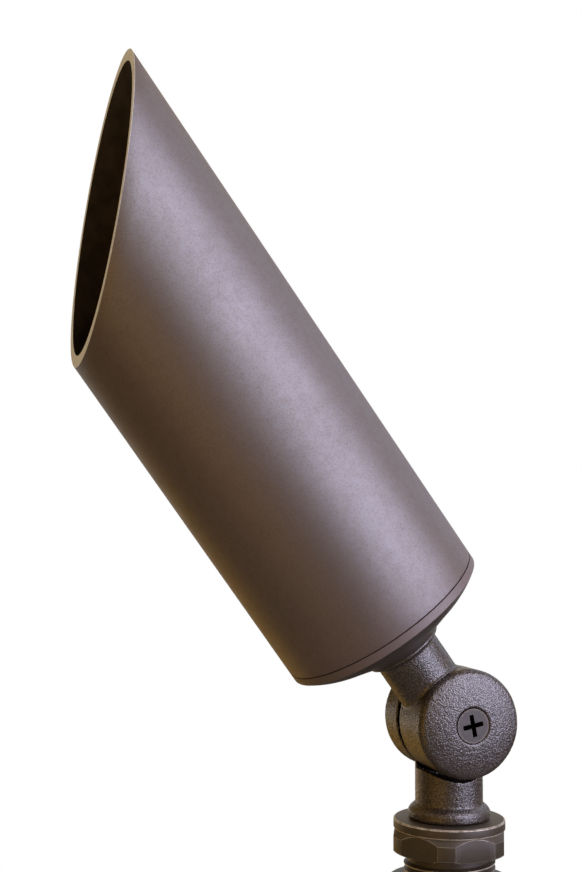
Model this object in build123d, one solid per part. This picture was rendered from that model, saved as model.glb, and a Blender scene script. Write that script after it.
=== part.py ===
from build123d import *
from math import cos, radians, sqrt, tan
import os

# Garden spike spotlight: a slant-cut brass shroud on a cast knuckle, screwed into a plastic
# ground spike. Millimetres. +Z is up, the ground is z = 0, and the lamp leans towards -Y.
# The knuckle pin lies along X, and the head of its screw faces +X.

# ---- driving dimensions ------------------------------------------------------------------

# ground spike
shoulder_radius = 34.0
shoulder_thickness = 4.0
shoulder_edge = 1.0
hub_top = 30.0
hub_top_radius = 19.0
hub_foot_radius = 21.5
hub_edge = 1.2
hub_socket_depth = 15.0
wire_chamber_radius = 10.5
wire_chamber_floor = 3.0
gusset_count = 4
gusset_thickness = 3.0
gusset_edge_inset = 3.0
gusset_toe_height = 1.0
gusset_top = 21.6
blade_length = 215.0
blade_half_width = 17.0
blade_shoulder_width = 3.4
blade_point_length = 18.0
blade_thickness = 3.8
blade_web_count = 4
blade_web_thickness = 2.4
blade_web_reach = 1.25
cable_exit_height = 12.0
cable_exit_boss_radius = 9.0
cable_exit_boss_reach = 2.0
grommet_radius = 5.6
grommet_bore_radius = 3.6
grommet_lip = 1.6
grommet_lip_thickness = 1.4
grommet_lip_edge = 0.4
grommet_inset = 0.8

# hex bushing, which carries the lamp on the spike
thread_radius = 13.34
thread_depth = 1.1
thread_pitch = 1.814
thread_crest = 0.3
exposed_thread = 8.4
thread_in_spike = 12.0
thread_relief = 1.0
hex_across_flats = 31.75
hex_turned_radius = 17.05
hex_height = 6.2
hex_clocking = 2.0
hex_chamfer_drop = 1.6
hex_chamfer_inset = 1.2
hex_under_edge = 0.5
seat_ring_radius = 16.3
seat_ring_thickness = 3.0
seat_ring_edge = 0.3

# knuckle
pivot_above_seat = 28.9
knuckle_radius = 15.6
knuckle_seam_x = -1.46
knuckle_seam_gap = 0.4
knuckle_front_depth = 15.4
knuckle_back_depth = 10.4
knuckle_edge_round = 1.2
knuckle_crown = 1.0
knuckle_crown_share = 0.75
knuckle_face_flat = 3.0
knuckle_sweep_gap = 0.5
base_neck_gap = 1.4
base_neck_radius = 9.9
base_foot_radius = 11.95
base_foot_height = 4.4
base_foot_edge = 0.6
base_foot_shoulder = 2.0
base_foot_bulge = 0.25
stem_radius = 10.4
stem_length = 17.0
stem_edge = 0.8
stem_bore_radius = 7.0
base_wire_radius = 3.1
base_wire_x = -5.1
head_offset_x = 2.9
head_neck_radius = 9.65
head_neck_length = 26.0
neck_root_height = 7.8
neck_collar_radius = 11.5
neck_collar_height = 1.3
neck_collar_ease = 0.5
neck_spigot_radius = 6.5
neck_spigot_length = 9.9
neck_bore_radius = 3.9
wire_recess_inner = 5.5
wire_recess_outer = 10.2
head_recess_depth = 7.0
base_recess_depth = 5.0
knuckle_ring_radius = 12.4
knuckle_ring_section = 0.85
knuckle_groove_depth = 1.4
knuckle_groove_width = 2.0
friction_washer_thickness = 0.3
friction_washer_inset = 0.2
neck_blend = 1.4

# knuckle screw, number 10 flat head with a cross recess
screw_radius = 2.5
screw_head_radius = 4.9
screw_head_rim = 0.5
screw_sink = 0.15
screw_engagement = 8.2
screw_point = 0.6
screw_recess_reach = 6.4
screw_recess_floor_radius = 1.9
screw_recess_width = 1.35
screw_recess_depth = 2.0
screw_clocking = 11.0
countersink_ring = 0.3

# lamp head, measured along its own axis from the knuckle pin
head_tilt = 36.2
seam_distance = 39.9
seam_gap = 0.3
shroud_outer_diameter = 62.0
shroud_wall = 2.3
shroud_cut_centre = 177.6
shroud_cut_angle = 44.3
cap_band = 2.25
cap_dome_depth = 4.3
cap_dome_width = 7.4
cap_dome_bulge = 0.35
cap_flare_start = 0.4
cap_flare_depth = 2.3
cap_flare_width = 3.7
cap_flare_bulge = 0.12
cap_floor_thickness = 3.7
cap_floor_radius = 12.2
cap_spigot_length = 9.1
cap_spigot_wall = 3.35
cap_spigot_lead_in = 0.6
cap_ring_section = 1.0
cap_ring_from_seam = 4.6
cap_ring_groove_slack = 0.3
boss_radius = 3.6
boss_from_bore = 6.4
boss_height = 10.3
boss_hole_depth = 7.0
neck_washer_radius = 11.0
neck_washer_thickness = 0.7
neck_nut_across_flats = 17.0
neck_nut_height = 4.0
neck_nut_edge = 0.8
seal_flange_radius = 5.2
seal_flange_height = 1.2
seal_depth = 7.0

# lamp holder
bracket_width = 12.0
bracket_past_screw = 3.6
bracket_thickness = 1.2
bracket_centre_hole = 5.2
bracket_screw_radius = 2.0
bracket_screw_head_radius = 3.6
bracket_screw_head_height = 2.4
bracket_screw_length = 7.4
socket_width = 10.0
socket_length = 24.0
socket_height = 15.5
socket_round = 1.5
socket_screw_spacing = 16.0
socket_screw_radius = 1.5
socket_screw_head_radius = 2.75
socket_screw_head_height = 2.2
socket_counterbore_depth = 3.2
socket_nut_across_flats = 5.5
socket_nut_height = 2.4
socket_screw_past_nut = 0.4
pin_entry_clearance = 0.2
contact_radius = 1.4
contact_length = 7.0
contact_below_face = 1.2
contact_floor = 0.6
lead_radius = 1.0
lead_spacing = 3.8
screw_cheek_share = 0.5
screw_crown_share = 0.75
screw_slot_width = 1.1
screw_slot_reach = 1.1
screw_slot_depth = 1.0

# two-pin reflector lamp, 50 mm
lamp_radius = 25.0
lamp_rim_height = 3.0
lamp_rim_step = 1.2
lamp_rim_slope = 0.8
lamp_rim_wall = 1.6
lamp_height = 39.6
lamp_reflector_depth = 32.0
lamp_reflector_wall = 1.5
lamp_reflector_foot_radius = 8.2
lamp_bowl_bulge = 3.4
lamp_bowl_inset = 0.9
lamp_floor_hole = 4.4
lamp_base_width = 9.6
lamp_base_length = 15.0
lamp_base_collar = 2.6
lamp_pin_radius = 0.75
lamp_pin_spacing = 5.33
lamp_pin_length = 7.8
lamp_pin_root = 1.6
lamp_capsule_floor = 2.2
lamp_capsule_radius = 3.6
lamp_capsule_length = 24.0
lamp_glass_thickness = 1.3
lamp_glass_recess = 0.4
lamp_above_socket = 0.2

# lens, seated on a ledge inside the shroud
lens_thickness = 3.0
lens_edge = 0.4
lens_above_lamp = 5.5
gasket_thickness = 1.5
gasket_inset = 0.2
ledge_width = 2.7
ledge_thickness = 2.5
lens_ring_thickness = 1.2
lens_ring_width = 2.6
lens_ring_groove = 0.8
lens_ring_gap = 14.0
lens_ring_lug = 1.9
lens_ring_lug_overlap = 0.7
lens_ring_lug_hole = 0.75
lens_ring_play = 0.1

# clearances
running_clearance = 0.08
fixed_clearance = 0.03
seat_clearance = 0.05
lens_clearance = 0.3

# how far a cutting tool runs past the face it opens
overcut = 1.0

# ---- derived places ----------------------------------------------------------------------

shroud_radius = shroud_outer_diameter / 2
shroud_bore = shroud_radius - shroud_wall
boss_end = hub_foot_radius + cable_exit_boss_reach
bushing_bore = stem_radius + running_clearance
socket_bore = thread_radius + running_clearance
hex_bottom = hub_top + exposed_thread
hex_top = hex_bottom + hex_height
seat_height = hex_top + seat_ring_thickness
pivot_height = seat_height + pivot_above_seat
head_face_x = knuckle_seam_x + knuckle_seam_gap / 2
base_face_x = knuckle_seam_x - knuckle_seam_gap / 2
screw_top_x = head_face_x + knuckle_front_depth + knuckle_edge_round + knuckle_crown - screw_sink
screw_tip_x = base_face_x - screw_engagement
collar_top = head_neck_length + neck_collar_height
cap_end = seam_distance - seam_gap / 2
shroud_start = seam_distance + seam_gap / 2
cap_floor = collar_top + cap_floor_thickness
cap_spigot_radius = shroud_bore - running_clearance
cap_spigot_bore = shroud_bore - cap_spigot_wall
boss_spacing = 2 * (cap_spigot_bore - boss_from_bore)
bracket_length = boss_spacing + 2 * bracket_past_screw
cap_spigot_end = shroud_start + cap_spigot_length
cap_ring_height = shroud_start + cap_ring_from_seam
spigot_end = collar_top + neck_spigot_length
seal_top = spigot_end + seal_flange_height
bracket_bottom = cap_floor + boss_height
bracket_top = bracket_bottom + bracket_thickness
socket_top = bracket_top + socket_height
lamp_bottom = socket_top + lamp_above_socket
lamp_front = lamp_bottom + lamp_height
lens_back = lamp_front + lens_above_lamp
lens_front = lens_back + lens_thickness
gasket_front = lens_front + gasket_thickness + seat_clearance
ledge_back = gasket_front + seat_clearance
lens_radius = shroud_bore - lens_clearance
lens_ring_front = lens_back - seat_clearance - lens_ring_play
lens_ring_back = lens_ring_front - lens_ring_thickness
UP = (Align.CENTER, Align.CENTER, Align.MIN)


# ---- helpers -----------------------------------------------------------------------------


def lathe(*points):
    """A body of revolution about Z from (radius, height) points."""
    outline = Polyline(*points, close=True)
    return revolve(Plane.XZ * make_face(outline), Axis.Z, 360)


def pin_lathe(*points):
    """A body of revolution about X from (x, radius) points."""
    outline = Polyline(*points, close=True)
    return revolve(make_face(outline), Axis.X, 360)


def rod(radius, bottom, top, x=0.0, y=0.0):
    """An upright round bar between two heights."""
    return Pos(x, y, bottom) * Cylinder(radius, top - bottom, align=UP)


def pin_rod(radius, start, end):
    """A round bar along X between two x values."""
    return Rot(0, 90, 0) * rod(radius, start, end)


def hex_bar(across_flats, bottom, top, x=0.0, y=0.0, turn=0.0):
    """An upright hexagonal bar, one pair of flats square to X."""
    corner_radius = across_flats / 2 / cos(radians(30))
    outline = Rot(0, 0, 30 + turn) * RegularPolygon(corner_radius, 6)
    return Pos(x, y, bottom) * extrude(outline, top - bottom)


def bulged(start, end, bulge):
    """An arc from start to end that swells by bulge to the right of its direction."""
    along = Vector(*end) - Vector(*start)
    side = Vector(along.Y, -along.X).normalized()
    middle = (Vector(*start) + Vector(*end)) / 2 + side * bulge
    return ThreePointArc(start, middle, end)


def at_pivot(shape):
    """Moves a shape drawn about the origin to the knuckle pin, upright."""
    return Pos(0, 0, pivot_height) * shape


def tilted(shape):
    """Places a shape drawn on an upright pin frame at the lamp head's tilt."""
    return Pos(0, 0, pivot_height) * Rot(head_tilt, 0, 0) * shape


def on_head(shape):
    """Places a shape drawn about Z on the lamp head's axis."""
    return tilted(Pos(head_offset_x, 0, 0) * shape)


def pair(shape, spacing):
    """Two copies of a shape, one each side along Y."""
    return [Pos(0, side * spacing / 2, 0) * shape for side in (-1, 1)]


# ---- ground spike ------------------------------------------------------------------------


def blade_plate():
    """One flat plate of the cross-shaped blade, in the XZ plane."""
    shoulder_z = -(blade_length - blade_point_length)
    outline = Polyline(
        (-blade_half_width, shoulder_thickness / 2),
        (blade_half_width, shoulder_thickness / 2),
        (blade_half_width, 0),
        (blade_shoulder_width, shoulder_z),
        (0, -blade_length),
        (-blade_shoulder_width, shoulder_z),
        (-blade_half_width, 0),
        close=True,
    )
    plate = extrude(Plane.XZ * make_face(outline), blade_thickness)
    return Pos(0, blade_thickness / 2, 0) * plate


def blade_webs():
    """Small square webs that stiffen the cross at even steps down the blade."""
    span = blade_length - blade_point_length
    webs = []
    for step in range(1, blade_web_count + 1):
        depth = span * step / (blade_web_count + 1)
        width = blade_half_width - (blade_half_width - blade_shoulder_width) * depth / span
        side = width * blade_web_reach
        webs.append(Pos(0, 0, -depth) * Rot(0, 0, 45) * Box(side, side, blade_web_thickness))
    return webs


def gusset():
    """A triangular rib from the hub down to the shoulder, drawn towards +X."""
    toe = shoulder_radius - gusset_edge_inset
    outline = Polyline(
        (socket_bore, shoulder_thickness / 2),
        (toe, shoulder_thickness / 2),
        (toe, shoulder_thickness + gusset_toe_height),
        (hub_top_radius, gusset_top),
        (socket_bore, gusset_top),
        close=True,
    )
    rib = extrude(Plane.XZ * make_face(outline), gusset_thickness)
    return Pos(0, gusset_thickness / 2, 0) * rib


def ground_spike():
    hub = lathe(
        (0, 0),
        (shoulder_radius - shoulder_edge, 0),
        (shoulder_radius, shoulder_edge),
        (shoulder_radius, shoulder_thickness - shoulder_edge),
        (shoulder_radius - shoulder_edge, shoulder_thickness),
        (hub_foot_radius, shoulder_thickness),
        (hub_top_radius, hub_top - hub_edge),
        (hub_top_radius - hub_edge, hub_top),
        (0, hub_top),
    )
    body = hub + blade_plate() + Rot(0, 0, 90) * blade_plate()
    for web in blade_webs():
        body += web
    for index in range(gusset_count):
        body += Rot(0, 0, 45 + 360 / gusset_count * index) * gusset()
    boss = Rot(-90, 0, 0) * rod(cable_exit_boss_radius, wire_chamber_radius, boss_end)
    body += Pos(0, 0, cable_exit_height) * boss
    body -= rod(socket_bore, hub_top - hub_socket_depth, hub_top + overcut)
    body -= rod(wire_chamber_radius, wire_chamber_floor, hub_top)
    exit_hole = Rot(-90, 0, 0) * rod(grommet_radius + fixed_clearance, 0, boss_end + overcut)
    return body - Pos(0, 0, cable_exit_height) * exit_hole


def cable_grommet():
    """Rubber bush in the cable exit, with a lip outside the boss."""
    start = wire_chamber_radius + grommet_inset
    lip_radius = grommet_radius + grommet_lip
    face = boss_end + seat_clearance
    end = face + grommet_lip_thickness
    bush = lathe(
        (grommet_bore_radius, start),
        (grommet_radius, start),
        (grommet_radius, face),
        (lip_radius, face),
        (lip_radius, end - grommet_lip_edge),
        (lip_radius - grommet_lip_edge, end),
        (grommet_bore_radius, end),
    )
    return Pos(0, 0, cable_exit_height) * Rot(-90, 0, 0) * bush


def thread_profile(top, bottom):
    """Points of a ring thread down its outside, from top to bottom."""
    root = thread_radius - thread_depth
    turns = int((top - bottom) / thread_pitch)
    points = []
    for turn in range(turns):
        start = top - turn * thread_pitch
        points.append((root, start))
        points.append((thread_radius, start - (thread_pitch - thread_crest) / 2))
        points.append((thread_radius, start - (thread_pitch + thread_crest) / 2))
    points.append((root, top - turns * thread_pitch))
    points.append((root, bottom))
    return points


def hex_bushing():
    hexagon = hex_bar(hex_across_flats, hex_bottom, hex_top, turn=hex_clocking)
    turned = lathe(
        (0, hex_bottom),
        (hex_turned_radius - hex_under_edge, hex_bottom),
        (hex_turned_radius, hex_bottom + hex_under_edge),
        (hex_turned_radius, hex_top - hex_chamfer_drop),
        (hex_turned_radius - hex_chamfer_inset, hex_top),
        (0, hex_top),
    )
    thread_bottom = hub_top - thread_in_spike
    thread = lathe(
        (0, hex_bottom + hex_under_edge),
        (thread_radius - thread_depth, hex_bottom + hex_under_edge),
        *thread_profile(hex_bottom - thread_relief, thread_bottom),
        (0, thread_bottom),
    )
    return (hexagon & turned) + thread - rod(bushing_bore, 0, hex_top + overcut)


def seat_ring():
    """Round machined ring that the knuckle's foot sits on."""
    bottom = hex_top + seat_clearance
    top = seat_height
    return lathe(
        (bushing_bore, bottom),
        (seat_ring_radius - seat_ring_edge, bottom),
        (seat_ring_radius, bottom + seat_ring_edge),
        (seat_ring_radius, top - seat_ring_edge),
        (seat_ring_radius - seat_ring_edge, top),
        (bushing_bore, top),
    )


# ---- knuckle -----------------------------------------------------------------------------


def knuckle_disc(face_x, depth):
    """Half of the knuckle: a thick disc about X with a rounded edge and a crowned face."""
    edge_x = face_x + depth
    rim_x = edge_x + knuckle_edge_round
    crown_x = rim_x + knuckle_crown
    inner = knuckle_radius - knuckle_edge_round
    diagonal = knuckle_edge_round * cos(radians(45))
    edge_middle = (edge_x + diagonal, inner + diagonal)
    crown_middle = (rim_x + knuckle_crown * knuckle_crown_share, (inner + knuckle_face_flat) / 2)
    outline = [
        Line((face_x, 0), (face_x, knuckle_radius)),
        Line((face_x, knuckle_radius), (edge_x, knuckle_radius)),
        ThreePointArc((edge_x, knuckle_radius), edge_middle, (rim_x, inner)),
        ThreePointArc((rim_x, inner), crown_middle, (crown_x, knuckle_face_flat)),
        Line((crown_x, knuckle_face_flat), (crown_x, 0)),
        Line((crown_x, 0), (face_x, 0)),
    ]
    return revolve(make_face(outline), Axis.X, 360)


def wire_recess(start, end):
    """Ring-shaped wire space round the pin, inside both halves."""
    return pin_rod(wire_recess_outer, start, end) - pin_rod(wire_recess_inner, start, end)


def screw_cone(clearance):
    """The flat head's shape about X, grown by a clearance; it also cuts the countersink."""
    rim = screw_head_radius + clearance
    shank = screw_radius + clearance
    rim_x = screw_top_x - screw_head_rim
    return pin_lathe(
        (rim_x - (rim - shank), 0),
        (rim_x - (rim - shank), shank),
        (rim_x, rim),
        (screw_top_x, rim),
        (screw_top_x, 0),
    )


def knuckle_head():
    """Front half of the knuckle, cast in one with the neck that carries the lamp head."""
    behind = 2 * head_neck_radius
    disc = knuckle_disc(head_face_x - behind, knuckle_front_depth + behind)
    neck = rod(head_neck_radius, neck_root_height, head_neck_length, x=head_offset_x)
    casting = disc + neck
    joint = casting.edges().filter_by(
        lambda e: e.geom_type not in (GeomType.LINE, GeomType.CIRCLE)
        and e.center().Z > neck_root_height
    )
    casting = fillet(joint, neck_blend)
    behind_seam = head_face_x - behind - overcut
    casting -= pin_rod(knuckle_radius + knuckle_sweep_gap, behind_seam, head_face_x)
    collar = lathe(
        (0, head_neck_length - neck_collar_ease),
        (head_neck_radius, head_neck_length - neck_collar_ease),
        (neck_collar_radius, head_neck_length + neck_collar_ease),
        (neck_collar_radius, collar_top),
        (neck_spigot_radius, collar_top),
        (neck_spigot_radius, spigot_end),
        (0, spigot_end),
    )
    casting += Pos(head_offset_x, 0, 0) * collar
    casting -= wire_recess(head_face_x, head_face_x + head_recess_depth)
    bore_start = (wire_recess_inner + wire_recess_outer) / 2
    casting -= rod(neck_bore_radius, bore_start, spigot_end + overcut, x=head_offset_x)
    casting -= pin_rod(screw_radius + running_clearance, head_face_x - overcut, screw_top_x)
    casting -= screw_cone(running_clearance)
    ring_gap = pin_rod(
        screw_head_radius + countersink_ring,
        screw_top_x - screw_head_rim,
        screw_top_x + knuckle_crown,
    )
    return tilted(casting - ring_gap)


def knuckle_base():
    """Back half of the knuckle, cast in one with the base neck, its foot and the stem."""
    disc = Rot(0, 0, 180) * knuckle_disc(-base_face_x, knuckle_back_depth)
    foot_top = base_foot_height - pivot_above_seat
    foot_bottom = seat_clearance - pivot_above_seat
    neck = rod(base_neck_radius, foot_bottom, -neck_root_height)
    swept = pin_rod(
        knuckle_radius + base_neck_gap, base_face_x, base_face_x + 2 * base_neck_radius
    )
    casting = disc + (neck - swept)
    foot_under = (base_foot_radius - base_foot_edge, foot_bottom)
    foot_side = (base_foot_radius, foot_bottom + base_foot_edge)
    foot_shoulder = (base_foot_radius, foot_top - base_foot_shoulder)
    foot_outline = [
        Line((0, foot_bottom), foot_under),
        Line(foot_under, foot_side),
        Line(foot_side, foot_shoulder),
        bulged(foot_shoulder, (base_neck_radius, foot_top), base_foot_bulge),
        Line((base_neck_radius, foot_top), (0, foot_top)),
        Line((0, foot_top), (0, foot_bottom)),
    ]
    casting += revolve(Plane.XZ * make_face(foot_outline), Axis.Z, 360)
    stem_bottom = foot_bottom - stem_length
    casting += lathe(
        (0, stem_bottom),
        (stem_radius - stem_edge, stem_bottom),
        (stem_radius, stem_bottom + stem_edge),
        (stem_radius, foot_bottom + base_foot_edge),
        (0, foot_bottom + base_foot_edge),
    )
    wire_top = -(wire_recess_inner + wire_recess_outer) / 2
    casting -= rod(stem_bore_radius, stem_bottom - overcut, foot_top)
    casting -= rod(base_wire_radius, foot_top - overcut, wire_top, x=base_wire_x)
    casting -= wire_recess(base_face_x - base_recess_depth, base_face_x)
    groove_floor = base_face_x - knuckle_groove_depth
    groove_outer = knuckle_ring_radius + knuckle_groove_width / 2
    groove = pin_rod(groove_outer, groove_floor, base_face_x)
    groove -= pin_rod(groove_outer - knuckle_groove_width, groove_floor, base_face_x)
    casting -= groove
    hole_end = screw_tip_x - seat_clearance
    casting -= pin_rod(screw_radius + fixed_clearance, hole_end, base_face_x + overcut)
    return at_pivot(casting)


def pivot_screw():
    """Flat-head screw that holds the knuckle together, turned into the back half."""
    shank_end = screw_top_x - screw_head_rim
    shank = pin_lathe(
        (screw_tip_x, 0),
        (screw_tip_x, screw_radius - screw_point),
        (screw_tip_x + screw_point, screw_radius),
        (shank_end, screw_radius),
        (shank_end, 0),
    )
    arm = Box(screw_recess_depth, screw_recess_width, screw_recess_reach)
    cross = arm + Rot(90, 0, 0) * arm
    taper = pin_lathe(
        (screw_top_x - screw_recess_depth, 0),
        (screw_top_x - screw_recess_depth, screw_recess_floor_radius),
        (screw_top_x, screw_recess_reach / 2),
        (screw_top_x, 0),
    )
    cross = Pos(screw_top_x - screw_recess_depth / 2, 0, 0) * Rot(screw_clocking, 0, 0) * cross
    return at_pivot(shank + screw_cone(0) - (cross & taper))


def knuckle_o_ring():
    """Seal between the two halves, lying in the back half's groove."""
    depth = knuckle_groove_depth - knuckle_ring_section - fixed_clearance
    ring = Rot(0, 90, 0) * Torus(knuckle_ring_radius, knuckle_ring_section)
    return at_pivot(Pos(base_face_x - depth, 0, 0) * ring)


def friction_washer():
    """Thin washer between the two screw bosses, whose pressure holds the lamp's angle."""
    start = base_face_x + fixed_clearance
    end = start + friction_washer_thickness
    washer = pin_rod(wire_recess_inner - friction_washer_inset, start, end)
    return at_pivot(washer - pin_rod(screw_radius + running_clearance, start, end))


# ---- lamp head ---------------------------------------------------------------------------


def cap_outside():
    """Solid outer shape of the back cap: flared at the neck, domed out to its plain band."""
    rim_edge = cap_end - cap_band
    dome_start = (shroud_radius - cap_dome_width, rim_edge - cap_dome_depth)
    flare_start = (neck_collar_radius + cap_flare_start, collar_top)
    flare_end = (flare_start[0] + cap_flare_width, collar_top + cap_flare_depth)
    lead_in = (cap_spigot_radius, cap_spigot_end - cap_spigot_lead_in)
    spigot_edge = (cap_spigot_radius - cap_spigot_lead_in, cap_spigot_end)
    outline = [
        Line((0, collar_top), flare_start),
        bulged(flare_start, flare_end, -cap_flare_bulge),
        Line(flare_end, dome_start),
        bulged(dome_start, (shroud_radius, rim_edge), cap_dome_bulge),
        Line((shroud_radius, rim_edge), (shroud_radius, cap_end)),
        Line((shroud_radius, cap_end), (cap_spigot_radius, cap_end)),
        Line((cap_spigot_radius, cap_end), lead_in),
        Line(lead_in, spigot_edge),
        Line(spigot_edge, (0, cap_spigot_end)),
        Line((0, cap_spigot_end), (0, collar_top)),
    ]
    return revolve(Plane.XZ * make_face(outline), Axis.Z, 360)


def back_cap():
    """Turned cap that closes the head, with a spigot inside the shroud and two screw bosses."""
    outside = cap_outside()
    rise = cap_end - cap_band - cap_dome_depth - collar_top - cap_flare_depth
    run = shroud_radius - cap_dome_width - neck_collar_radius - cap_flare_start - cap_flare_width
    cone_top = cap_floor + rise / run * (cap_spigot_bore - cap_floor_radius)
    cavity = lathe(
        (0, cap_floor),
        (cap_floor_radius, cap_floor),
        (cap_spigot_bore, cone_top),
        (cap_spigot_bore, cap_spigot_end + overcut),
        (0, cap_spigot_end + overcut),
    )
    cap = outside - cavity
    for boss in pair(rod(boss_radius, collar_top, bracket_bottom), boss_spacing):
        cap += boss & outside
    groove_bottom = shroud_bore - seat_clearance - 2 * cap_ring_section - fixed_clearance
    groove_back = cap_ring_height - cap_ring_section - cap_ring_groove_slack
    groove_front = cap_ring_height + cap_ring_section + cap_ring_groove_slack
    groove = rod(shroud_bore, groove_back, groove_front)
    groove -= rod(groove_bottom, groove_back, groove_front)
    cap -= groove
    neck_hole = neck_spigot_radius + fixed_clearance
    cap -= rod(neck_hole, collar_top - overcut, cap_floor + overcut)
    hole_end = bracket_bottom - boss_hole_depth
    hole = rod(bracket_screw_radius + fixed_clearance, hole_end, bracket_bottom)
    for screw_hole in pair(hole, boss_spacing):
        cap -= screw_hole
    return on_head(cap)


def cap_o_ring():
    """Seal and friction ring between the cap's spigot and the shroud."""
    major = shroud_bore - seat_clearance - cap_ring_section
    return on_head(Pos(0, 0, cap_ring_height) * Torus(major, cap_ring_section))


def neck_washer():
    start = cap_floor
    end = start + neck_washer_thickness
    washer = rod(neck_washer_radius, start, end)
    return on_head(washer - rod(neck_spigot_radius + fixed_clearance, start, end))


def neck_nut():
    """Thin hexagon nut inside the cap that clamps it on the neck."""
    start = cap_floor + neck_washer_thickness
    end = start + neck_nut_height
    nut = hex_bar(neck_nut_across_flats, start, end)
    corner_radius = neck_nut_across_flats / 2 / cos(radians(30))
    nut &= lathe(
        (0, start),
        (corner_radius, start),
        (corner_radius, end - neck_nut_edge),
        (corner_radius - 2 * neck_nut_edge, end),
        (0, end),
    )
    return on_head(nut - rod(neck_spigot_radius + fixed_clearance, start, end))


def lead_seal():
    """Rubber plug in the neck's bore, with a hole for each lead."""
    start = spigot_end - seal_depth
    plug = rod(neck_bore_radius - fixed_clearance, start, spigot_end)
    plug += rod(seal_flange_radius, spigot_end, seal_top)
    for hole in pair(rod(lead_radius + fixed_clearance, start, seal_top), lead_spacing):
        plug -= hole
    return on_head(plug)


def shroud():
    """Tube from the seam to the slant cut, with a ledge and a groove for the lens inside."""
    tip = shroud_cut_centre + shroud_radius / tan(radians(shroud_cut_angle))
    tube = rod(shroud_radius, shroud_start, tip + overcut)
    ledge_front = ledge_back + ledge_thickness
    tube -= rod(shroud_bore, shroud_start - overcut, ledge_back)
    tube -= rod(shroud_bore - ledge_width, ledge_back - overcut, ledge_front + overcut)
    tube -= rod(shroud_bore, ledge_front, tip + 2 * overcut)
    groove_back = lens_ring_back - lens_ring_play
    groove_front = lens_ring_front + lens_ring_play
    tube -= rod(shroud_bore + lens_ring_groove, groove_back, groove_front)
    waste = 3 * shroud_outer_diameter
    cutter = Rot(90 - shroud_cut_angle, 0, 0) * Box(waste, waste, waste, align=UP)
    return on_head(tube - Pos(0, 0, shroud_cut_centre) * cutter)


def lens():
    """Clear glass disc with ground edges."""
    return on_head(
        lathe(
            (0, lens_back),
            (lens_radius - lens_edge, lens_back),
            (lens_radius, lens_back + lens_edge),
            (lens_radius, lens_front - lens_edge),
            (lens_radius - lens_edge, lens_front),
            (0, lens_front),
        )
    )


def lens_gasket():
    """Flat silicone ring between the lens and the ledge."""
    start = lens_front + seat_clearance
    end = start + gasket_thickness
    inner = shroud_bore - ledge_width + gasket_inset
    return on_head(rod(lens_radius, start, end) - rod(inner, start, end))


def lens_ring():
    """Spring ring in the shroud's groove, open on one side, with a lug at each end."""
    outer = shroud_bore + lens_ring_groove - lens_ring_play
    inner = outer - lens_ring_width
    ring = rod(outer, lens_ring_back, lens_ring_front)
    ring -= rod(inner, lens_ring_back, lens_ring_front)
    lug_y = lens_ring_gap / 2 + lens_ring_lug / 2
    lug_x = sqrt((inner - lens_ring_lug_overlap) ** 2 - lug_y**2)
    opening = Box(4 * lens_ring_width, lens_ring_gap, lens_ring_thickness, align=UP)
    ring -= Pos(outer, 0, lens_ring_back) * opening
    for side in (-1, 1):
        lug = Pos(lug_x, side * lug_y, 0)
        ring += lug * rod(lens_ring_lug, lens_ring_back, lens_ring_front)
        ring -= lug * rod(lens_ring_lug_hole, lens_ring_back, lens_ring_front)
    return on_head(ring)


# ---- lamp holder and lamp ----------------------------------------------------------------


def socket_bracket():
    """Flat steel strip across the cap that carries the lamp holder."""
    strip = Box(bracket_width, bracket_length, bracket_thickness, align=UP)
    strip = Pos(0, 0, bracket_bottom) * strip
    strip -= rod(bracket_centre_hole, bracket_bottom, bracket_top)
    hole = rod(bracket_screw_radius + running_clearance, bracket_bottom, bracket_top)
    for screw_hole in pair(hole, boss_spacing):
        strip -= screw_hole
    hole = rod(socket_screw_radius + running_clearance, bracket_bottom, bracket_top)
    for screw_hole in pair(hole, socket_screw_spacing):
        strip -= screw_hole
    return on_head(strip)


def pan_head_screw(shank_radius, head_radius, head_height, head_bottom, shank_bottom):
    """A screw with a rounded head and a plain cross slot, pointing down."""
    head_top = head_bottom + head_height
    screw = lathe(
        (0, shank_bottom),
        (shank_radius, shank_bottom),
        (shank_radius, head_bottom),
        (head_radius, head_bottom),
        (head_radius, head_bottom + head_height * screw_cheek_share),
        (head_radius * screw_crown_share, head_top),
        (0, head_top),
    )
    slot = Box(screw_slot_width, head_radius * screw_slot_reach, 2 * screw_slot_depth)
    slot = Pos(0, 0, head_top) * slot
    return screw - slot - Rot(0, 0, 90) * slot


def bracket_screws():
    """The two screws that hold the bracket on the cap's bosses."""
    screw = pan_head_screw(
        bracket_screw_radius,
        bracket_screw_head_radius,
        bracket_screw_head_height,
        bracket_top,
        bracket_top - bracket_screw_length,
    )
    return on_head(Compound(children=pair(screw, boss_spacing)))


def lamp_socket():
    """Ceramic lamp holder block with two pin holes on top and two lead holes below."""
    block = Pos(0, 0, bracket_top) * Box(socket_width, socket_length, socket_height, align=UP)
    block = fillet(block.edges().filter_by(Axis.Z), socket_round)
    cavity_top = socket_top - contact_below_face
    cavity_bottom = cavity_top - contact_length - 2 * fixed_clearance
    counterbore_floor = socket_top - socket_counterbore_depth
    cavity = rod(contact_radius + fixed_clearance, cavity_bottom, cavity_top)
    entry = rod(lamp_pin_radius + pin_entry_clearance, cavity_top, socket_top)
    lead_hole = rod(lead_radius + fixed_clearance, bracket_top, cavity_bottom)
    screw_hole = rod(socket_screw_radius + running_clearance, bracket_top, socket_top)
    counterbore = rod(socket_screw_head_radius + running_clearance, counterbore_floor, socket_top)
    cuts = pair(cavity + entry, lamp_pin_spacing)
    cuts += pair(lead_hole, lead_spacing)
    cuts += pair(screw_hole + counterbore, socket_screw_spacing)
    for cut in cuts:
        block -= cut
    return on_head(block)


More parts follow.
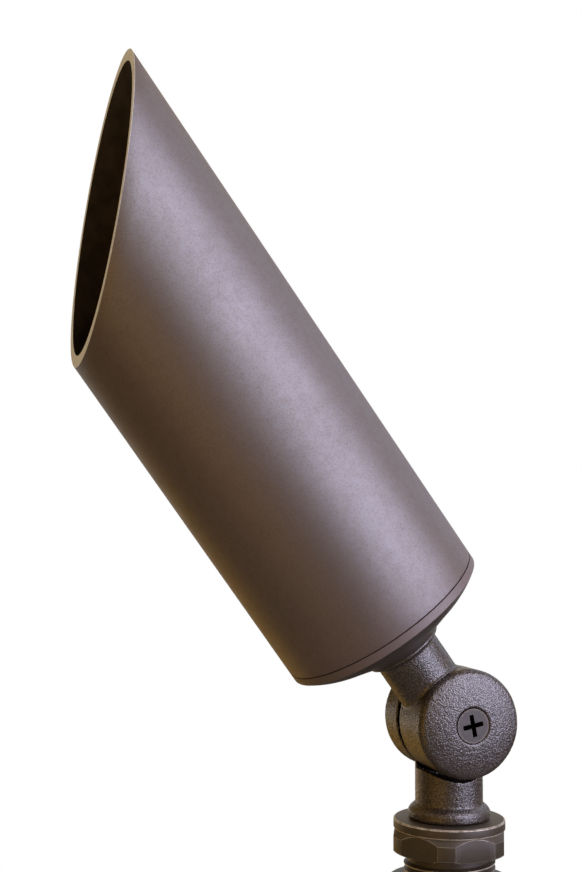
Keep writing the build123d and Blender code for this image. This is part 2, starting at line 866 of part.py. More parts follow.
def socket_contacts():
    """The two spring tubes in the lamp holder that grip the lamp's pins."""
    top = socket_top - contact_below_face - fixed_clearance
    bottom = top - contact_length
    tube = rod(contact_radius, bottom, top)
    tube -= rod(lamp_pin_radius + fixed_clearance, bottom + contact_floor, top)
    return on_head(Compound(children=pair(tube, lamp_pin_spacing)))


def socket_screws():
    """The two screws that hold the lamp holder on its bracket."""
    seat = socket_top - socket_counterbore_depth
    screw = pan_head_screw(
        socket_screw_radius,
        socket_screw_head_radius,
        socket_screw_head_height,
        seat,
        bracket_bottom - socket_nut_height - socket_screw_past_nut,
    )
    return on_head(Compound(children=pair(screw, socket_screw_spacing)))


def socket_nuts():
    """The two nuts under the bracket on the lamp holder's screws."""
    start = bracket_bottom - socket_nut_height
    nut = hex_bar(socket_nut_across_flats, start, bracket_bottom)
    nut -= rod(socket_screw_radius + fixed_clearance, start, bracket_bottom)
    return on_head(Compound(children=pair(nut, socket_screw_spacing)))


def socket_leads():
    """The two insulated leads from the lamp holder down into the seal."""
    top = socket_top - contact_below_face - contact_length - 3 * fixed_clearance
    lead = rod(lead_radius, spigot_end - seal_depth, top)
    return on_head(Compound(children=pair(lead, lead_spacing)))


def lamp_reflector():
    """Bowl of the reflector lamp, with its rim and a hole in its floor for the capsule."""
    foot = lamp_front - lamp_reflector_depth
    rim_back = lamp_front - lamp_rim_height
    glass_back = lamp_front - lamp_glass_thickness - lamp_glass_recess
    bowl_top = (lamp_radius - lamp_rim_step, rim_back - lamp_rim_slope)
    bowl_foot = (lamp_reflector_foot_radius, foot)
    rim_inner = lamp_radius - lamp_rim_wall
    inner_top = (bowl_top[0] - lamp_reflector_wall, rim_back)
    inner_foot = (lamp_reflector_foot_radius - lamp_bowl_inset, foot + lamp_reflector_wall)
    inner_hole = (lamp_floor_hole, foot + lamp_reflector_wall)
    outline = [
        Line((lamp_floor_hole, foot), bowl_foot),
        bulged(bowl_foot, bowl_top, lamp_bowl_bulge),
        Line(bowl_top, (lamp_radius, rim_back)),
        Line((lamp_radius, rim_back), (lamp_radius, lamp_front)),
        Line((lamp_radius, lamp_front), (rim_inner, lamp_front)),
        Line((rim_inner, lamp_front), (rim_inner, glass_back)),
        Line((rim_inner, glass_back), (inner_top[0], glass_back)),
        Line((inner_top[0], glass_back), inner_top),
        bulged(inner_top, inner_foot, -lamp_bowl_bulge),
        Line(inner_foot, inner_hole),
        Line(inner_hole, (lamp_floor_hole, foot)),
    ]
    return on_head(revolve(Plane.XZ * make_face(outline), Axis.Z, 360))


def lamp_base():
    """Ceramic foot of the lamp, cemented under the bowl."""
    foot = lamp_front - lamp_reflector_depth
    height = foot - lamp_bottom
    block = Pos(0, 0, lamp_bottom) * Box(lamp_base_width, lamp_base_length, height, align=UP)
    block = fillet(block.edges().filter_by(Axis.Z), socket_round)
    block += rod(lamp_reflector_foot_radius, foot - lamp_base_collar, foot)
    capsule_hole = lamp_capsule_radius + fixed_clearance
    block -= rod(capsule_hole, lamp_bottom + lamp_capsule_floor, foot)
    hole = rod(lamp_pin_radius + fixed_clearance, lamp_bottom, lamp_bottom + lamp_pin_root)
    for pin_hole in pair(hole, lamp_pin_spacing):
        block -= pin_hole
    return on_head(block)


def lamp_pins():
    pin = rod(lamp_pin_radius, lamp_bottom - lamp_pin_length, lamp_bottom + lamp_pin_root)
    return on_head(Compound(children=pair(pin, lamp_pin_spacing)))


def lamp_capsule():
    """Quartz capsule with a domed top, standing in the lamp's foot."""
    start = lamp_bottom + lamp_capsule_floor + fixed_clearance
    end = start + lamp_capsule_length
    tube = rod(lamp_capsule_radius, start, end - lamp_capsule_radius)
    return on_head(tube + Pos(0, 0, end - lamp_capsule_radius) * Sphere(lamp_capsule_radius))


def lamp_front_glass():
    end = lamp_front - lamp_glass_recess
    start = end - lamp_glass_thickness
    disc_radius = lamp_radius - lamp_rim_wall - fixed_clearance
    return on_head(rod(disc_radius, start + fixed_clearance, end))


# ---- write one STEP per piece ------------------------------------------------------------

pieces = {
    "ground_spike": ground_spike,
    "cable_grommet": cable_grommet,
    "hex_bushing": hex_bushing,
    "seat_ring": seat_ring,
    "knuckle_base": knuckle_base,
    "pivot_screw": pivot_screw,
    "knuckle_o_ring": knuckle_o_ring,
    "friction_washer": friction_washer,
    "knuckle_head": knuckle_head,
    "neck_washer": neck_washer,
    "neck_nut": neck_nut,
    "lead_seal": lead_seal,
    "back_cap": back_cap,
    "cap_o_ring": cap_o_ring,
    "socket_bracket": socket_bracket,
    "bracket_screws": bracket_screws,
    "lamp_socket": lamp_socket,
    "socket_contacts": socket_contacts,
    "socket_screws": socket_screws,
    "socket_nuts": socket_nuts,
    "socket_leads": socket_leads,
    "lamp_reflector": lamp_reflector,
    "lamp_base": lamp_base,
    "lamp_pins": lamp_pins,
    "lamp_capsule": lamp_capsule,
    "lamp_front_glass": lamp_front_glass,
    "shroud": shroud,
    "lens": lens,
    "lens_gasket": lens_gasket,
    "lens_ring": lens_ring,
}

os.makedirs("parts", exist_ok=True)
for name, build in pieces.items():
    export_step(build(), f"parts/{name}.step")
    print("wrote", name)
print("knuckle pin height", round(pivot_height, 2))
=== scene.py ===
# %% [markdown]
# # A garden spike spotlight, finished in Blender
# The lamp is a dark bronze tube, cut at a slant, on a cast knuckle. A hexagon bushing screws it
# into a plastic spike that goes into the soil. The CAD model has every piece at its real size.
# This lesson loads it, gives each piece its finish, and makes again the few pieces that need more
# than a CAD solid holds: the tube, the rough castings, worn edges, the thread and the lamp's bowl.

# %% Load the frame
from math import cos, pi, radians, sin, tan

import bpy
import bmesh
import numpy as np
from mathutils import Matrix, Vector


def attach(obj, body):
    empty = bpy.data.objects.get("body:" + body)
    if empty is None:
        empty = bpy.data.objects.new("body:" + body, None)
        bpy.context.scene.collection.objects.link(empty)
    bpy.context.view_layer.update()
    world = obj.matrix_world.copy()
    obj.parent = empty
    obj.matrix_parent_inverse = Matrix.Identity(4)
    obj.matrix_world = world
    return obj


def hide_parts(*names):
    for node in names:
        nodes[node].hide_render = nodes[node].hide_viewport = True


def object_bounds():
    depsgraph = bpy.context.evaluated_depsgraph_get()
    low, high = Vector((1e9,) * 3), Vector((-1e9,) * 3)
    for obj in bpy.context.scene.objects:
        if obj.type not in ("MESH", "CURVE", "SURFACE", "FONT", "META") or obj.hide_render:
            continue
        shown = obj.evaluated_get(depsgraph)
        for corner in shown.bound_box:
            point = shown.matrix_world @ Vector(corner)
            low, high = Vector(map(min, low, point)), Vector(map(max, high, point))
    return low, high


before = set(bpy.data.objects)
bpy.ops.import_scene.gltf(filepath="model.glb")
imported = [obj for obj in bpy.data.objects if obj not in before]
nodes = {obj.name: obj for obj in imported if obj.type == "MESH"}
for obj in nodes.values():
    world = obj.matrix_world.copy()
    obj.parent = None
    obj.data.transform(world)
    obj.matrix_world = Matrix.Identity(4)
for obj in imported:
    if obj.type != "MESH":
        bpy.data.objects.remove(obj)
cad_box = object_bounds()
scene = bpy.context.scene
MM = 0.001
print("pieces", len(nodes), "CAD box", [round(v, 4) for v in cad_box[1] - cad_box[0]])

# %% [markdown]
# ## Where things are
# The head's pieces were drawn upright and then tilted about the knuckle pin. We keep that tilt as
# one matrix, so that a piece can be drawn about its own upright axis and then placed. The sizes
# repeat those of the CAD model, in millimetres.

# %% The head's own axis
PIN_HEIGHT = 76.5
HEAD_TILT = radians(36.2)
HEAD_OFFSET = 2.9
PIN = PIN_HEIGHT * MM
HEAD_CENTRE = Vector((HEAD_OFFSET, 0, PIN_HEIGHT)) * MM
ON_HEAD = Matrix.Translation(HEAD_CENTRE) @ Matrix.Rotation(HEAD_TILT, 4, "X")

SHROUD_RADIUS = 31.0
SHROUD_WALL = 2.3
SHROUD_START = 40.05
CUT_CENTRE = 177.6
CUT_ANGLE = radians(44.3)
CUT_SLOPE = 1 / tan(CUT_ANGLE)
long_side = CUT_CENTRE + SHROUD_RADIUS * CUT_SLOPE - SHROUD_START
print("tube length on its long side", round(long_side, 1))

# %% [markdown]
# ## The camera
# The photograph looks at the knuckle from its screw side, a little from below. Its lens was found
# by fitting the outlines of the tube, the knuckle and the ring, in a frame of 582 by 872 pixels.

# %% Camera
FRAME_HEIGHT_PX = 872
FOCAL_PX = 1300
CAMERA_AZIMUTH = radians(71.28)
CAMERA_ELEVATION = radians(-3.39)
CAMERA_ROLL = radians(0.06)
CAMERA_PLACE = Vector((351.87, -168.32, 136.62)) * MM


def placed(name, data):
    """A new object with this data, linked to the scene."""
    piece = bpy.data.objects.new(name, data)
    scene.collection.objects.link(piece)
    return piece


camera_data = bpy.data.cameras.new("camera")
camera_data.sensor_fit = "VERTICAL"
camera_data.sensor_height = 36.0
camera_data.lens = FOCAL_PX / FRAME_HEIGHT_PX * camera_data.sensor_height
camera_data.clip_start = 0.01
camera = placed("camera", camera_data)
scene.camera = camera

to_right = Vector((cos(CAMERA_AZIMUTH), sin(CAMERA_AZIMUTH), 0))
to_camera = Vector((sin(CAMERA_AZIMUTH), -cos(CAMERA_AZIMUTH), 0)) * cos(CAMERA_ELEVATION)
to_camera.z = sin(CAMERA_ELEVATION)
to_top = to_camera.cross(to_right)
turn = Matrix((to_right, to_top, to_camera)).transposed().to_4x4()
roll = Matrix.Rotation(CAMERA_ROLL, 4, "Z")
camera.matrix_world = Matrix.Translation(CAMERA_PLACE) @ turn @ roll
print("lens", round(camera_data.lens, 2), "mm")

# %% [markdown]
# ## Node graphs as sums
# Shaders and Geometry Nodes are both graphs, and long ones are hard to read. A small class wraps
# a socket, so that `1 - mask * 0.5` adds its Math nodes by itself. Every other node comes from
# `Graph.add`, which sets the node's own settings first and then its inputs.

# %% A socket that takes part in sums
class Wire:
    """One output socket of a graph. Arithmetic on it adds Math nodes."""

    def __init__(self, graph, socket):
        self.graph = graph
        self.socket = socket

    def math(self, operation, *others):
        values = dict(enumerate((self, *others)))
        return self.graph.add("ShaderNodeMath", values, operation=operation)

    def __add__(self, other):
        return self.math("ADD", other)

    def __sub__(self, other):
        return self.math("SUBTRACT", other)

    def __rsub__(self, other):
        return self.graph.add("ShaderNodeMath", {0: other, 1: self}, operation="SUBTRACT")

    def __mul__(self, other):
        return self.math("MULTIPLY", other)

    def __truediv__(self, other):
        return self.math("DIVIDE", other)

    def __rtruediv__(self, other):
        return self.graph.add("ShaderNodeMath", {0: other, 1: self}, operation="DIVIDE")

    __radd__ = __add__
    __rmul__ = __mul__

    def between(self, low, high):
        """0 below low and 1 above high, with a soft step between them."""
        inputs = {0: self, 1: low, 2: high}
        return self.graph.add("ShaderNodeMapRange", inputs, interpolation_type="SMOOTHSTEP")


# %% A graph that nodes are added to
class Graph:
    """A shader or geometry node tree with one way to add a node."""

    def __init__(self, tree):
        self.tree = tree

    def add(self, kind, inputs=None, output=0, **settings):
        """A new node: first its settings, then the values or wires of its inputs."""
        node = self.tree.nodes.new(kind)
        for name, value in settings.items():
            setattr(node, name, value)
        for name, value in (inputs or {}).items():
            if isinstance(value, Wire):
                self.tree.links.new(value.socket, node.inputs[name])
            else:
                node.inputs[name].default_value = value
        return Wire(self, node.outputs[output])

    def split(self, vector):
        """The x, y and z of a vector."""
        first = self.add("ShaderNodeSeparateXYZ", {0: vector})
        return [Wire(self, socket) for socket in first.socket.node.outputs]

    def mix(self, factor, low, high):
        """One colour where factor is 0, the other where it is 1. Each is a wire or (r, g, b)."""
        low, high = (end if isinstance(end, Wire) else (*end, 1) for end in (low, high))
        inputs = {0: factor, 6: low, 7: high}
        return self.add("ShaderNodeMix", inputs, output=2, data_type="RGBA")

    def named(self, name):
        return self.add("GeometryNodeInputNamedAttribute", {"Name": name}, data_type="FLOAT")

    def rays(self):
        """What the camera sees, also through glass, and what metal mirrors."""
        path = self.tree.nodes.new("ShaderNodeLightPath")
        camera_ray = Wire(self, path.outputs["Is Camera Ray"])
        through_glass = Wire(self, path.outputs["Is Transmission Ray"])
        return camera_ray + through_glass, Wire(self, path.outputs["Is Glossy Ray"])


# %% [markdown]
# ## What every finish shares
# A finish is one Principled shader. Patterns are worked out in the object's own coordinates, in
# metres, so a grain of half a millimetre has a scale of about 2000. The Texture type of the
# Mapping node undoes the head's tilt, which gives the tube's own axis as z.

# %% A finish and its patterns
UPRIGHT_AXIS = ((0, 0, 0), 0.0)
HEAD_AXIS = (tuple(HEAD_CENTRE), HEAD_TILT)


class Finish(Graph):
    """A material with one Principled shader, and patterns about its piece's own axis."""

    def __init__(self, name, axis=UPRIGHT_AXIS, **numbers):
        self.material = bpy.data.materials.new(name)
        self.material.use_nodes = True
        super().__init__(self.material.node_tree)
        self.tree.nodes.clear()
        self.shader = self.tree.nodes.new("ShaderNodeBsdfPrincipled")
        for name, value in numbers.items():
            self.set(name.replace("_", " "), value)
        self.output = self.tree.nodes.new("ShaderNodeOutputMaterial")
        self.tree.links.new(self.shader.outputs[0], self.output.inputs[0])
        centre, tilt = axis
        inputs = {0: self.add("ShaderNodeTexCoord", output=3), 1: centre, 2: (tilt, 0, 0)}
        self.place = self.add("ShaderNodeMapping", inputs, vector_type="TEXTURE")

    def set(self, name, value):
        socket = self.shader.inputs[name]
        if isinstance(value, Wire):
            self.tree.links.new(value.socket, socket)
        else:
            socket.default_value = value

    def coat(self, colour, roughness, metallic=None):
        """Sets what varies over the surface, and hands back the material."""
        self.set("Base Color", colour)
        if metallic is not None:
            self.set("Metallic", metallic)
        self.set("Roughness", roughness)
        return self.material

    def noise(self, scale, detail=2.0, roughness=0.5, stretch=None):
        """Noise in the object's coordinates, which a stretch multiplies along each axis."""
        vector = self.place
        if stretch:
            vector = self.add("ShaderNodeMapping", {0: vector, 3: stretch}, vector_type="POINT")
        inputs = {"Vector": vector, "Scale": scale, "Detail": detail, "Roughness": roughness}
        return self.add("ShaderNodeTexNoise", inputs)

    def bump(self, height, depth_mm, strength=1.0):
        """Shades a height from 0 to 1 as if it stood depth_mm proud."""
        inputs = {"Height": height, "Distance": depth_mm * MM, "Strength": strength}
        self.set("Normal", self.add("ShaderNodeBump", inputs))


# %% [markdown]
# ## The tube's bronze
# The tube is turned brass with a dark chemical patina under wax. Close up it shows slow changes of
# tone from brown to red-brown, a sandy speckle under half a millimetre, and faint rings from the
# lathe, which are noise squeezed along the axis. The patina is an oxide, with a high IOR and
# little Metallic, save for specks where metal comes through. Slow noise in the roughness puts soft
# patches in the highlight. A brighter orange on the downward side is painted warm light. The sawn
# rim was filed after the patina, so it is pale, and its colour is whitened further as painted
# light. The inside is matt and painted almost black, as shade.

# %% Bronze patina of the tube
# Across the head's own y, where the painted warm light on the tube's downward side fades in
PAINTED_WARM_UNDERSIDE = (-27 * MM, -8 * MM)
REDDENED = (42 * MM, 66 * MM)


def shroud_bronze():
    """With painted warm light on the downward side, and redder over the first 25 mm from the cap.
    """
    finish = Finish("shroud_bronze", HEAD_AXIS, IOR=2.4, Specular_IOR_Level=0.8)
    tone = finish.noise(24, 3.0, 0.55)
    blush = finish.noise(55)
    mottle = finish.noise(330, 3.0, 0.6)
    speckle = finish.noise(1900, 2.0, 0.7)
    rings = finish.noise(1.0, 3.0, 0.65, stretch=(60, 60, 3600))
    _, y, z = finish.split(finish.place)
    brown = finish.mix(tone.between(0.35, 0.66), (0.056, 0.024, 0.007), (0.073, 0.033, 0.011))
    # Painted light: a brighter orange on the downward side stands in for warm light from below.
    painted_warm_light = 1 - y.between(*PAINTED_WARM_UNDERSIDE)
    brown = finish.mix(painted_warm_light * 0.65, brown, (0.105, 0.038, 0.004))
    reddened = (1 - z.between(*REDDENED)) * blush.between(0.30, 0.55) * 0.5
    brown = finish.mix(reddened, brown, (0.135, 0.046, 0.022))
    brown = finish.mix(mottle.between(0.45, 0.75) * 0.25, brown, (0.105, 0.060, 0.045))
    grain = (speckle - 0.5) * 1.3 + (rings - 0.5) * 0.4
    sand = finish.mix(grain.between(-0.30, 0.30), (0.022, 0.010, 0.003), (0.128, 0.072, 0.040))
    specks = mottle.between(0.4, 0.7) * 0.07 + speckle.between(0.44, 0.62) * 0.20
    sheen = 0.54 + (tone - 0.5) * 0.10 + (blush - 0.5) * 0.12 + (mottle - 0.5) * 0.08
    finish.bump(speckle * 0.7 + rings * 0.3, 0.040)
    return finish.coat(finish.mix(0.5, brown, sand), sheen + (speckle - 0.5) * 0.20, specks)


def filed_rim():
    """Sawn, filed brass, a little dulled, with file strokes; pale, and whitened as painted light.
    """
    finish = Finish("filed_rim", HEAD_AXIS, IOR=1.6)
    strokes = finish.noise(1.0, 3.0, 0.6, stretch=(350, 2600, 2600))
    dulled = finish.noise(240, 3.0, 0.6)
    # Painted light: the pale filed colour is pushed to near white to light a rim that sits in
    # shade.
    skin = finish.mix(strokes.between(0.3, 0.7), (0.90, 0.90, 0.86), (0.97, 0.97, 0.95))
    skin = finish.mix(dulled.between(0.5, 0.8) * 0.6, skin, (0.60, 0.56, 0.46))
    finish.bump(strokes, 0.015, 0.8)
    return finish.coat(skin, 0.42 + dulled * 0.15, 0.15 + strokes * 0.2)


def sooty_inside():
    """The bore, painted almost black as shade: matt, with traces of brown."""
    finish = Finish("sooty_inside", HEAD_AXIS, IOR=1.25)
    blotch = finish.noise(120, 4.0, 0.6)
    # Painted shade: the bore is coloured near black in place of the shade inside the tube.
    skin = finish.mix(blotch.between(0.3, 0.7), (0.034, 0.026, 0.019), (0.070, 0.052, 0.038))
    finish.bump(finish.noise(1800), 0.02)
    return finish.coat(skin, 0.8 + blotch * 0.15)


# %% Bronze of the back cap
CAP_BAND = (37.15 * MM, 37.45 * MM)


def cap_bronze():
    """Smoother than the tube, with a dark dish and a paler band where it was turned last."""
    finish = Finish("cap_bronze", HEAD_AXIS, IOR=2.2)
    tone = finish.noise(45)
    rings = finish.noise(1.0, 2.0, 0.6, stretch=(40, 40, 5200))
    z = finish.split(finish.place)[2]
    band = z.between(*CAP_BAND)
    dish = finish.mix(tone.between(0.3, 0.7), (0.030, 0.018, 0.009), (0.046, 0.028, 0.015))
    skin = finish.mix(band, dish, (0.190, 0.145, 0.125))
    finish.bump(rings, 0.008, 0.7)
    return finish.coat(skin, 0.48 + band * 0.08 + (rings - 0.5) * 0.08, 0.1 + band * 0.15)


# %% [markdown]
# ## Cast and machined brass
# The knuckle is sand cast, and its skin is left as it came: pitted, leathery, with crests that
# catch the light. Its larger bumps are real geometry, made further down. The shader adds the
# finer ones, with dark in the pits, and paints near-black shade into the joint of its two halves.
# The ring and the hexagon are cut from bar, so they are smooth, and handling has rubbed their
# edges to a pale line.

# %% Rough casting
LEATHER_SCALE = 1850
LEATHER_BEND = 0.5 * MM


def cast_bronze():
    finish = Finish("cast_bronze", IOR=2.4, Specular_IOR_Level=0.6)
    warp = finish.add("ShaderNodeTexNoise", {"Vector": finish.place, "Scale": 900.0}, output=1)
    warp = finish.add("ShaderNodeVectorMath", {0: warp, "Scale": LEATHER_BEND}, operation="SCALE")
    bent = finish.add("ShaderNodeVectorMath", {0: finish.place, 1: warp}, operation="ADD")
    voronoi = {"Vector": bent, "Scale": LEATHER_SCALE}
    cell = finish.add("ShaderNodeTexVoronoi", voronoi, feature="F1")
    border = finish.add("ShaderNodeTexVoronoi", voronoi, feature="DISTANCE_TO_EDGE")
    seam = finish.add("ShaderNodeAttribute", output=2, attribute_name="seam")
    grit = finish.noise(3200, 2.0, 0.6)
    tone = finish.noise(70)
    crown = 1 - cell.between(0.15, 0.75)
    height = crown * 0.7 + grit * 0.3
    skin = finish.mix(tone.between(0.3, 0.7), (0.036, 0.021, 0.008), (0.054, 0.033, 0.015))
    crack = (1 - border.between(0.06, 0.30)) * grit.between(0.30, 0.60)
    skin = finish.mix(crack * 0.9, skin, (0.006, 0.004, 0.002))
    skin = finish.mix(height.between(0.62, 0.88) * 0.7, skin, (0.140, 0.104, 0.068))
    # Painted shade: the joint, already a groove in the mesh, is coloured near black.
    ragged = finish.noise(700, 3.0, 0.6)
    joint = (seam + (ragged - 0.5) * 0.9).between(0.40, 0.55) * seam.between(0.05, 0.15)
    skin = finish.mix(joint, skin, (0.002, 0.001, 0.001))
    finish.bump(height, 0.080)
    roughness = 0.30 + (grit - 0.5) * 0.20 + crack * 0.20
    return finish.coat(skin, roughness, (crack * 0.55 + joint).math("MINIMUM", 1.0))


# %% Machined brass under its patina
def machined_bronze():
    finish = Finish("machined_bronze", Metallic=0.2, IOR=1.9)
    tone = finish.noise(90, 3.0, 0.55)
    rings = finish.noise(1.0, 2.0, 0.6, stretch=(70, 70, 5000))
    smudge = finish.noise(620, 3.0, 0.65)
    skin = finish.mix(tone.between(0.32, 0.68), (0.052, 0.038, 0.017), (0.064, 0.048, 0.026))
    skin = finish.mix(smudge.between(0.5, 0.8) * 0.5, skin, (0.110, 0.082, 0.050))
    finish.bump(rings * 0.5 + smudge * 0.5, 0.012, 0.8)
    return finish.coat(skin, 0.50 + (tone - 0.5) * 0.15)


def rubbed_edge():
    """Bare brass where handling has worn an edge."""
    finish = Finish("rubbed_edge", Metallic=0.2, IOR=1.7)
    wear = finish.noise(500, 3.0, 0.6)
    skin = finish.mix(wear.between(0.30, 0.58), (0.26, 0.21, 0.14), (0.72, 0.66, 0.52))
    return finish.coat(skin, 0.38 + wear * 0.12)


# %% Plain brass, inside the head
def plain_brass():
    finish = Finish("plain_brass", HEAD_AXIS, Metallic=0.95)
    tarnish = finish.noise(160, 3.0, 0.6)
    skin = finish.mix(tarnish.between(0.35, 0.7), (0.62, 0.46, 0.20), (0.42, 0.29, 0.12))
    finish.bump(finish.noise(1.0, stretch=(60, 60, 4500)), 0.004)
    return finish.coat(skin, 0.28 + tarnish * 0.18)


# %% [markdown]
# ## Steels
# The knuckle screw is dark and satin, rubbed lighter round its edge. The small steel pieces in
# the head are zinc plated, a pale grey with a faint cloud. The spring ring and the friction
# washer are spring steel.

# %% Screw, zinc and spring steel
SCREW_FACE = (15.97 * MM, 16.13 * MM)
SCREW_EDGE = (4.25 * MM, 4.55 * MM)


def screw_steel():
    """Satin on its face, rubbed round the edge, and painted near-black shade in the cross's recess.
    """
    finish = Finish("screw_steel", ((0, 0, PIN), 0.0), IOR=1.9)
    cloud = finish.noise(420, 3.0, 0.6)
    fine = finish.noise(2600, 2.0, 0.6)
    x, y, z = finish.split(finish.place)
    reach = (y * y + z * z).math("SQRT")
    edge = reach.between(*SCREW_EDGE) * fine.between(0.30, 0.60)
    face = x.between(*SCREW_FACE)
    skin = finish.mix(cloud.between(0.3, 0.7), (0.060, 0.050, 0.042), (0.086, 0.073, 0.063))
    skin = finish.mix(edge * 0.8, skin, (0.19, 0.16, 0.125))
    # Painted shade: below the plane of the face, in the recess of the cross, the colour is near
    # black.
    skin = finish.mix(face, (0.004, 0.003, 0.002), skin)
    finish.bump(fine, 0.008)
    return finish.coat(skin, 0.85 - face * 0.40 + cloud * 0.06, 1 - face * 0.7)


def plated_steel(name, dark, pale, roughness):
    finish = Finish(name, HEAD_AXIS, Metallic=0.9)
    cloud = finish.noise(220, 3.0, 0.6)
    finish.bump(finish.noise(2400), 0.003)
    return finish.coat(finish.mix(cloud.between(0.3, 0.7), dark, pale), roughness + cloud * 0.12)


# %% [markdown]
# ## Plastic, rubber and ceramic
# The spike is injection moulded in a greyish black, with a fine spark texture and with soil dust
# near the bottom of its ribs. Rubber is duller and has no grain. Ceramic is nearly white and matt,
# with a few grey specks.

# %% Moulded plastic
SOILED = (-190 * MM, -20 * MM)


def moulded_plastic():
    finish = Finish("moulded_plastic", IOR=1.5)
    spark = finish.noise(2600, 2.0, 0.55)
    cloud = finish.noise(38, 3.0, 0.6)
    scratch = finish.noise(1.0, 3.0, 0.7, stretch=(500, 500, 30))
    skin = finish.mix(cloud.between(0.35, 0.7), (0.020, 0.020, 0.021), (0.034, 0.033, 0.032))
    z = finish.split(finish.place)[2]
    rubbed = (1 - z.between(*SOILED)) * scratch.between(0.55, 0.75)
    skin = finish.mix(rubbed * 0.6, skin, (0.085, 0.080, 0.072))
    finish.bump(spark, 0.02, 0.7)
    return finish.coat(skin, 0.44 + (cloud - 0.5) * 0.16 + rubbed * 0.2)


def soft_rubber(name, dark, pale):
    finish = Finish(name, IOR=1.45)
    bloom = finish.noise(240, 3.0, 0.6)
    finish.bump(finish.noise(1500), 0.01)
    return finish.coat(finish.mix(bloom.between(0.3, 0.75), dark, pale), 0.62 + bloom * 0.15)


def fired_ceramic():
    finish = Finish("fired_ceramic", HEAD_AXIS, IOR=1.5)
    speck = finish.noise(1400).between(0.68, 0.76)
    tone = finish.noise(110)
    skin = finish.mix(tone.between(0.3, 0.7), (0.74, 0.72, 0.66), (0.82, 0.80, 0.75))
    skin = finish.mix(speck * 0.6, skin, (0.30, 0.28, 0.25))
    finish.bump(finish.noise(2000), 0.008)
    return finish.coat(skin, 0.55 + tone * 0.1)


# %% Sleeve of the leads
WEAVE_SCALE = 9000


def woven_sleeve():
    """Glass-fibre sleeving: a fine diagonal weave, nearly white."""
    finish = Finish("woven_sleeve", HEAD_AXIS)
    x, y, z = finish.split(finish.place)
    turn_about = x + y
    left = ((z + turn_about) * WEAVE_SCALE).math("SINE")
    right = ((z - turn_about) * WEAVE_SCALE).math("SINE")
    weave = left * right * 0.5 + 0.5
    finish.bump(weave, 0.05)
    return finish.coat(finish.mix(weave, (0.52, 0.50, 0.44), (0.78, 0.76, 0.70)), 0.7 + weave * 0.1)


# %% [markdown]
# ## Glass and the mirror bowl
# The lens, the lamp's front glass and the quartz capsule are clear. Cycles needs only full
# transmission and the right index, with a trace of dust in the roughness. The bowl is glass with
# a dichroic coat, which we make a plain mirror with a faint film of colour.

# %% Glass and mirror
def clear_glass(name, index, tint):
    finish = Finish(name, HEAD_AXIS, IOR=index, Transmission_Weight=1.0)
    dust = finish.noise(900, 3.0, 0.65)
    return finish.coat((*tint, 1), dust.between(0.62, 0.8) * 0.12 + 0.01)


def mirror_bowl():
    finish = Finish("mirror_bowl", HEAD_AXIS, Metallic=1.0)
    film = finish.noise(60)
    skin = finish.mix(film, (0.62, 0.60, 0.66), (0.80, 0.76, 0.70))
    return finish.coat(skin, 0.10 + film * 0.08)


# %% All the finishes
finishes = {
    "shroud": shroud_bronze(),
    "rim": filed_rim(),
    "inside": sooty_inside(),
    "cap": cap_bronze(),
    "cast": cast_bronze(),
    "machined": machined_bronze(),
    "edge": rubbed_edge(),
    "brass": plain_brass(),
    "screw": screw_steel(),
    "zinc": plated_steel("zinc_plate", (0.50, 0.51, 0.52), (0.68, 0.69, 0.68), 0.28),
    "spring": plated_steel("spring_steel", (0.26, 0.26, 0.27), (0.40, 0.40, 0.40), 0.30),
    "nickel": plated_steel("nickel_plate", (0.55, 0.53, 0.48), (0.70, 0.68, 0.62), 0.18),
    "tungsten": plated_steel("tungsten_wire", (0.20, 0.20, 0.21), (0.34, 0.34, 0.35), 0.35),
    "plastic": moulded_plastic(),
    "rubber": soft_rubber("black_rubber", (0.014, 0.014, 0.014), (0.030, 0.029, 0.028)),
    "silicone": soft_rubber("red_silicone", (0.34, 0.070, 0.040), (0.44, 0.11, 0.065)),
    "ceramic": fired_ceramic(),
    "sleeve": woven_sleeve(),
    "lens": clear_glass("lens_glass", 1.50, (0.955, 0.985, 0.970)),
    "quartz": clear_glass("quartz_glass", 1.46, (0.985, 0.985, 0.985)),
    "mirror": mirror_bowl(),
}
print("finishes", len(finishes))

# %% [markdown]
# ## Finishes on the CAD pieces
# A CAD piece whose shape is right stays, and only its material changes. The pieces that are made
# again get their finish below.

# %% Dress the CAD pieces
cad_finish = {
    "rubber": "cable_grommet knuckle_o_ring lead_seal cap_o_ring",
    "zinc": "socket_bracket bracket_screws socket_screws socket_nuts",
    "brass": "neck_washer neck_nut", "spring": "friction_washer lens_ring",
    "nickel": "socket_contacts lamp_pins", "ceramic": "lamp_socket lamp_base",
    "screw": "pivot_screw", "sleeve": "socket_leads", "silicone": "lens_gasket",
    "lens": "lens", "quartz": "lamp_front_glass",
}
for finish_name, piece_names in cad_finish.items():
    for node_name in piece_names.split():
        materials = nodes[node_name].data.materials
        materials.clear()
        materials.append(finishes[finish_name])
    print(finish_name, "on", piece_names)

# %% [markdown]
# ## A lathe in Geometry Nodes
# Most of this lamp was turned, and one rule covers all of it: a drawn profile goes round an axis.
# The tree samples the profile's points onto a grid. With `Turns` of 1 it is a lathe. With more
# turns and a `Climb` for each it winds a thread or a coil, and `Fade` lets a thread run out at its
# ends. `Slope` slants the points whose `share` is 1, which cuts the tube's mouth. Every tree opens
# with named sizes, and closes with Realize Instances and Set Material.

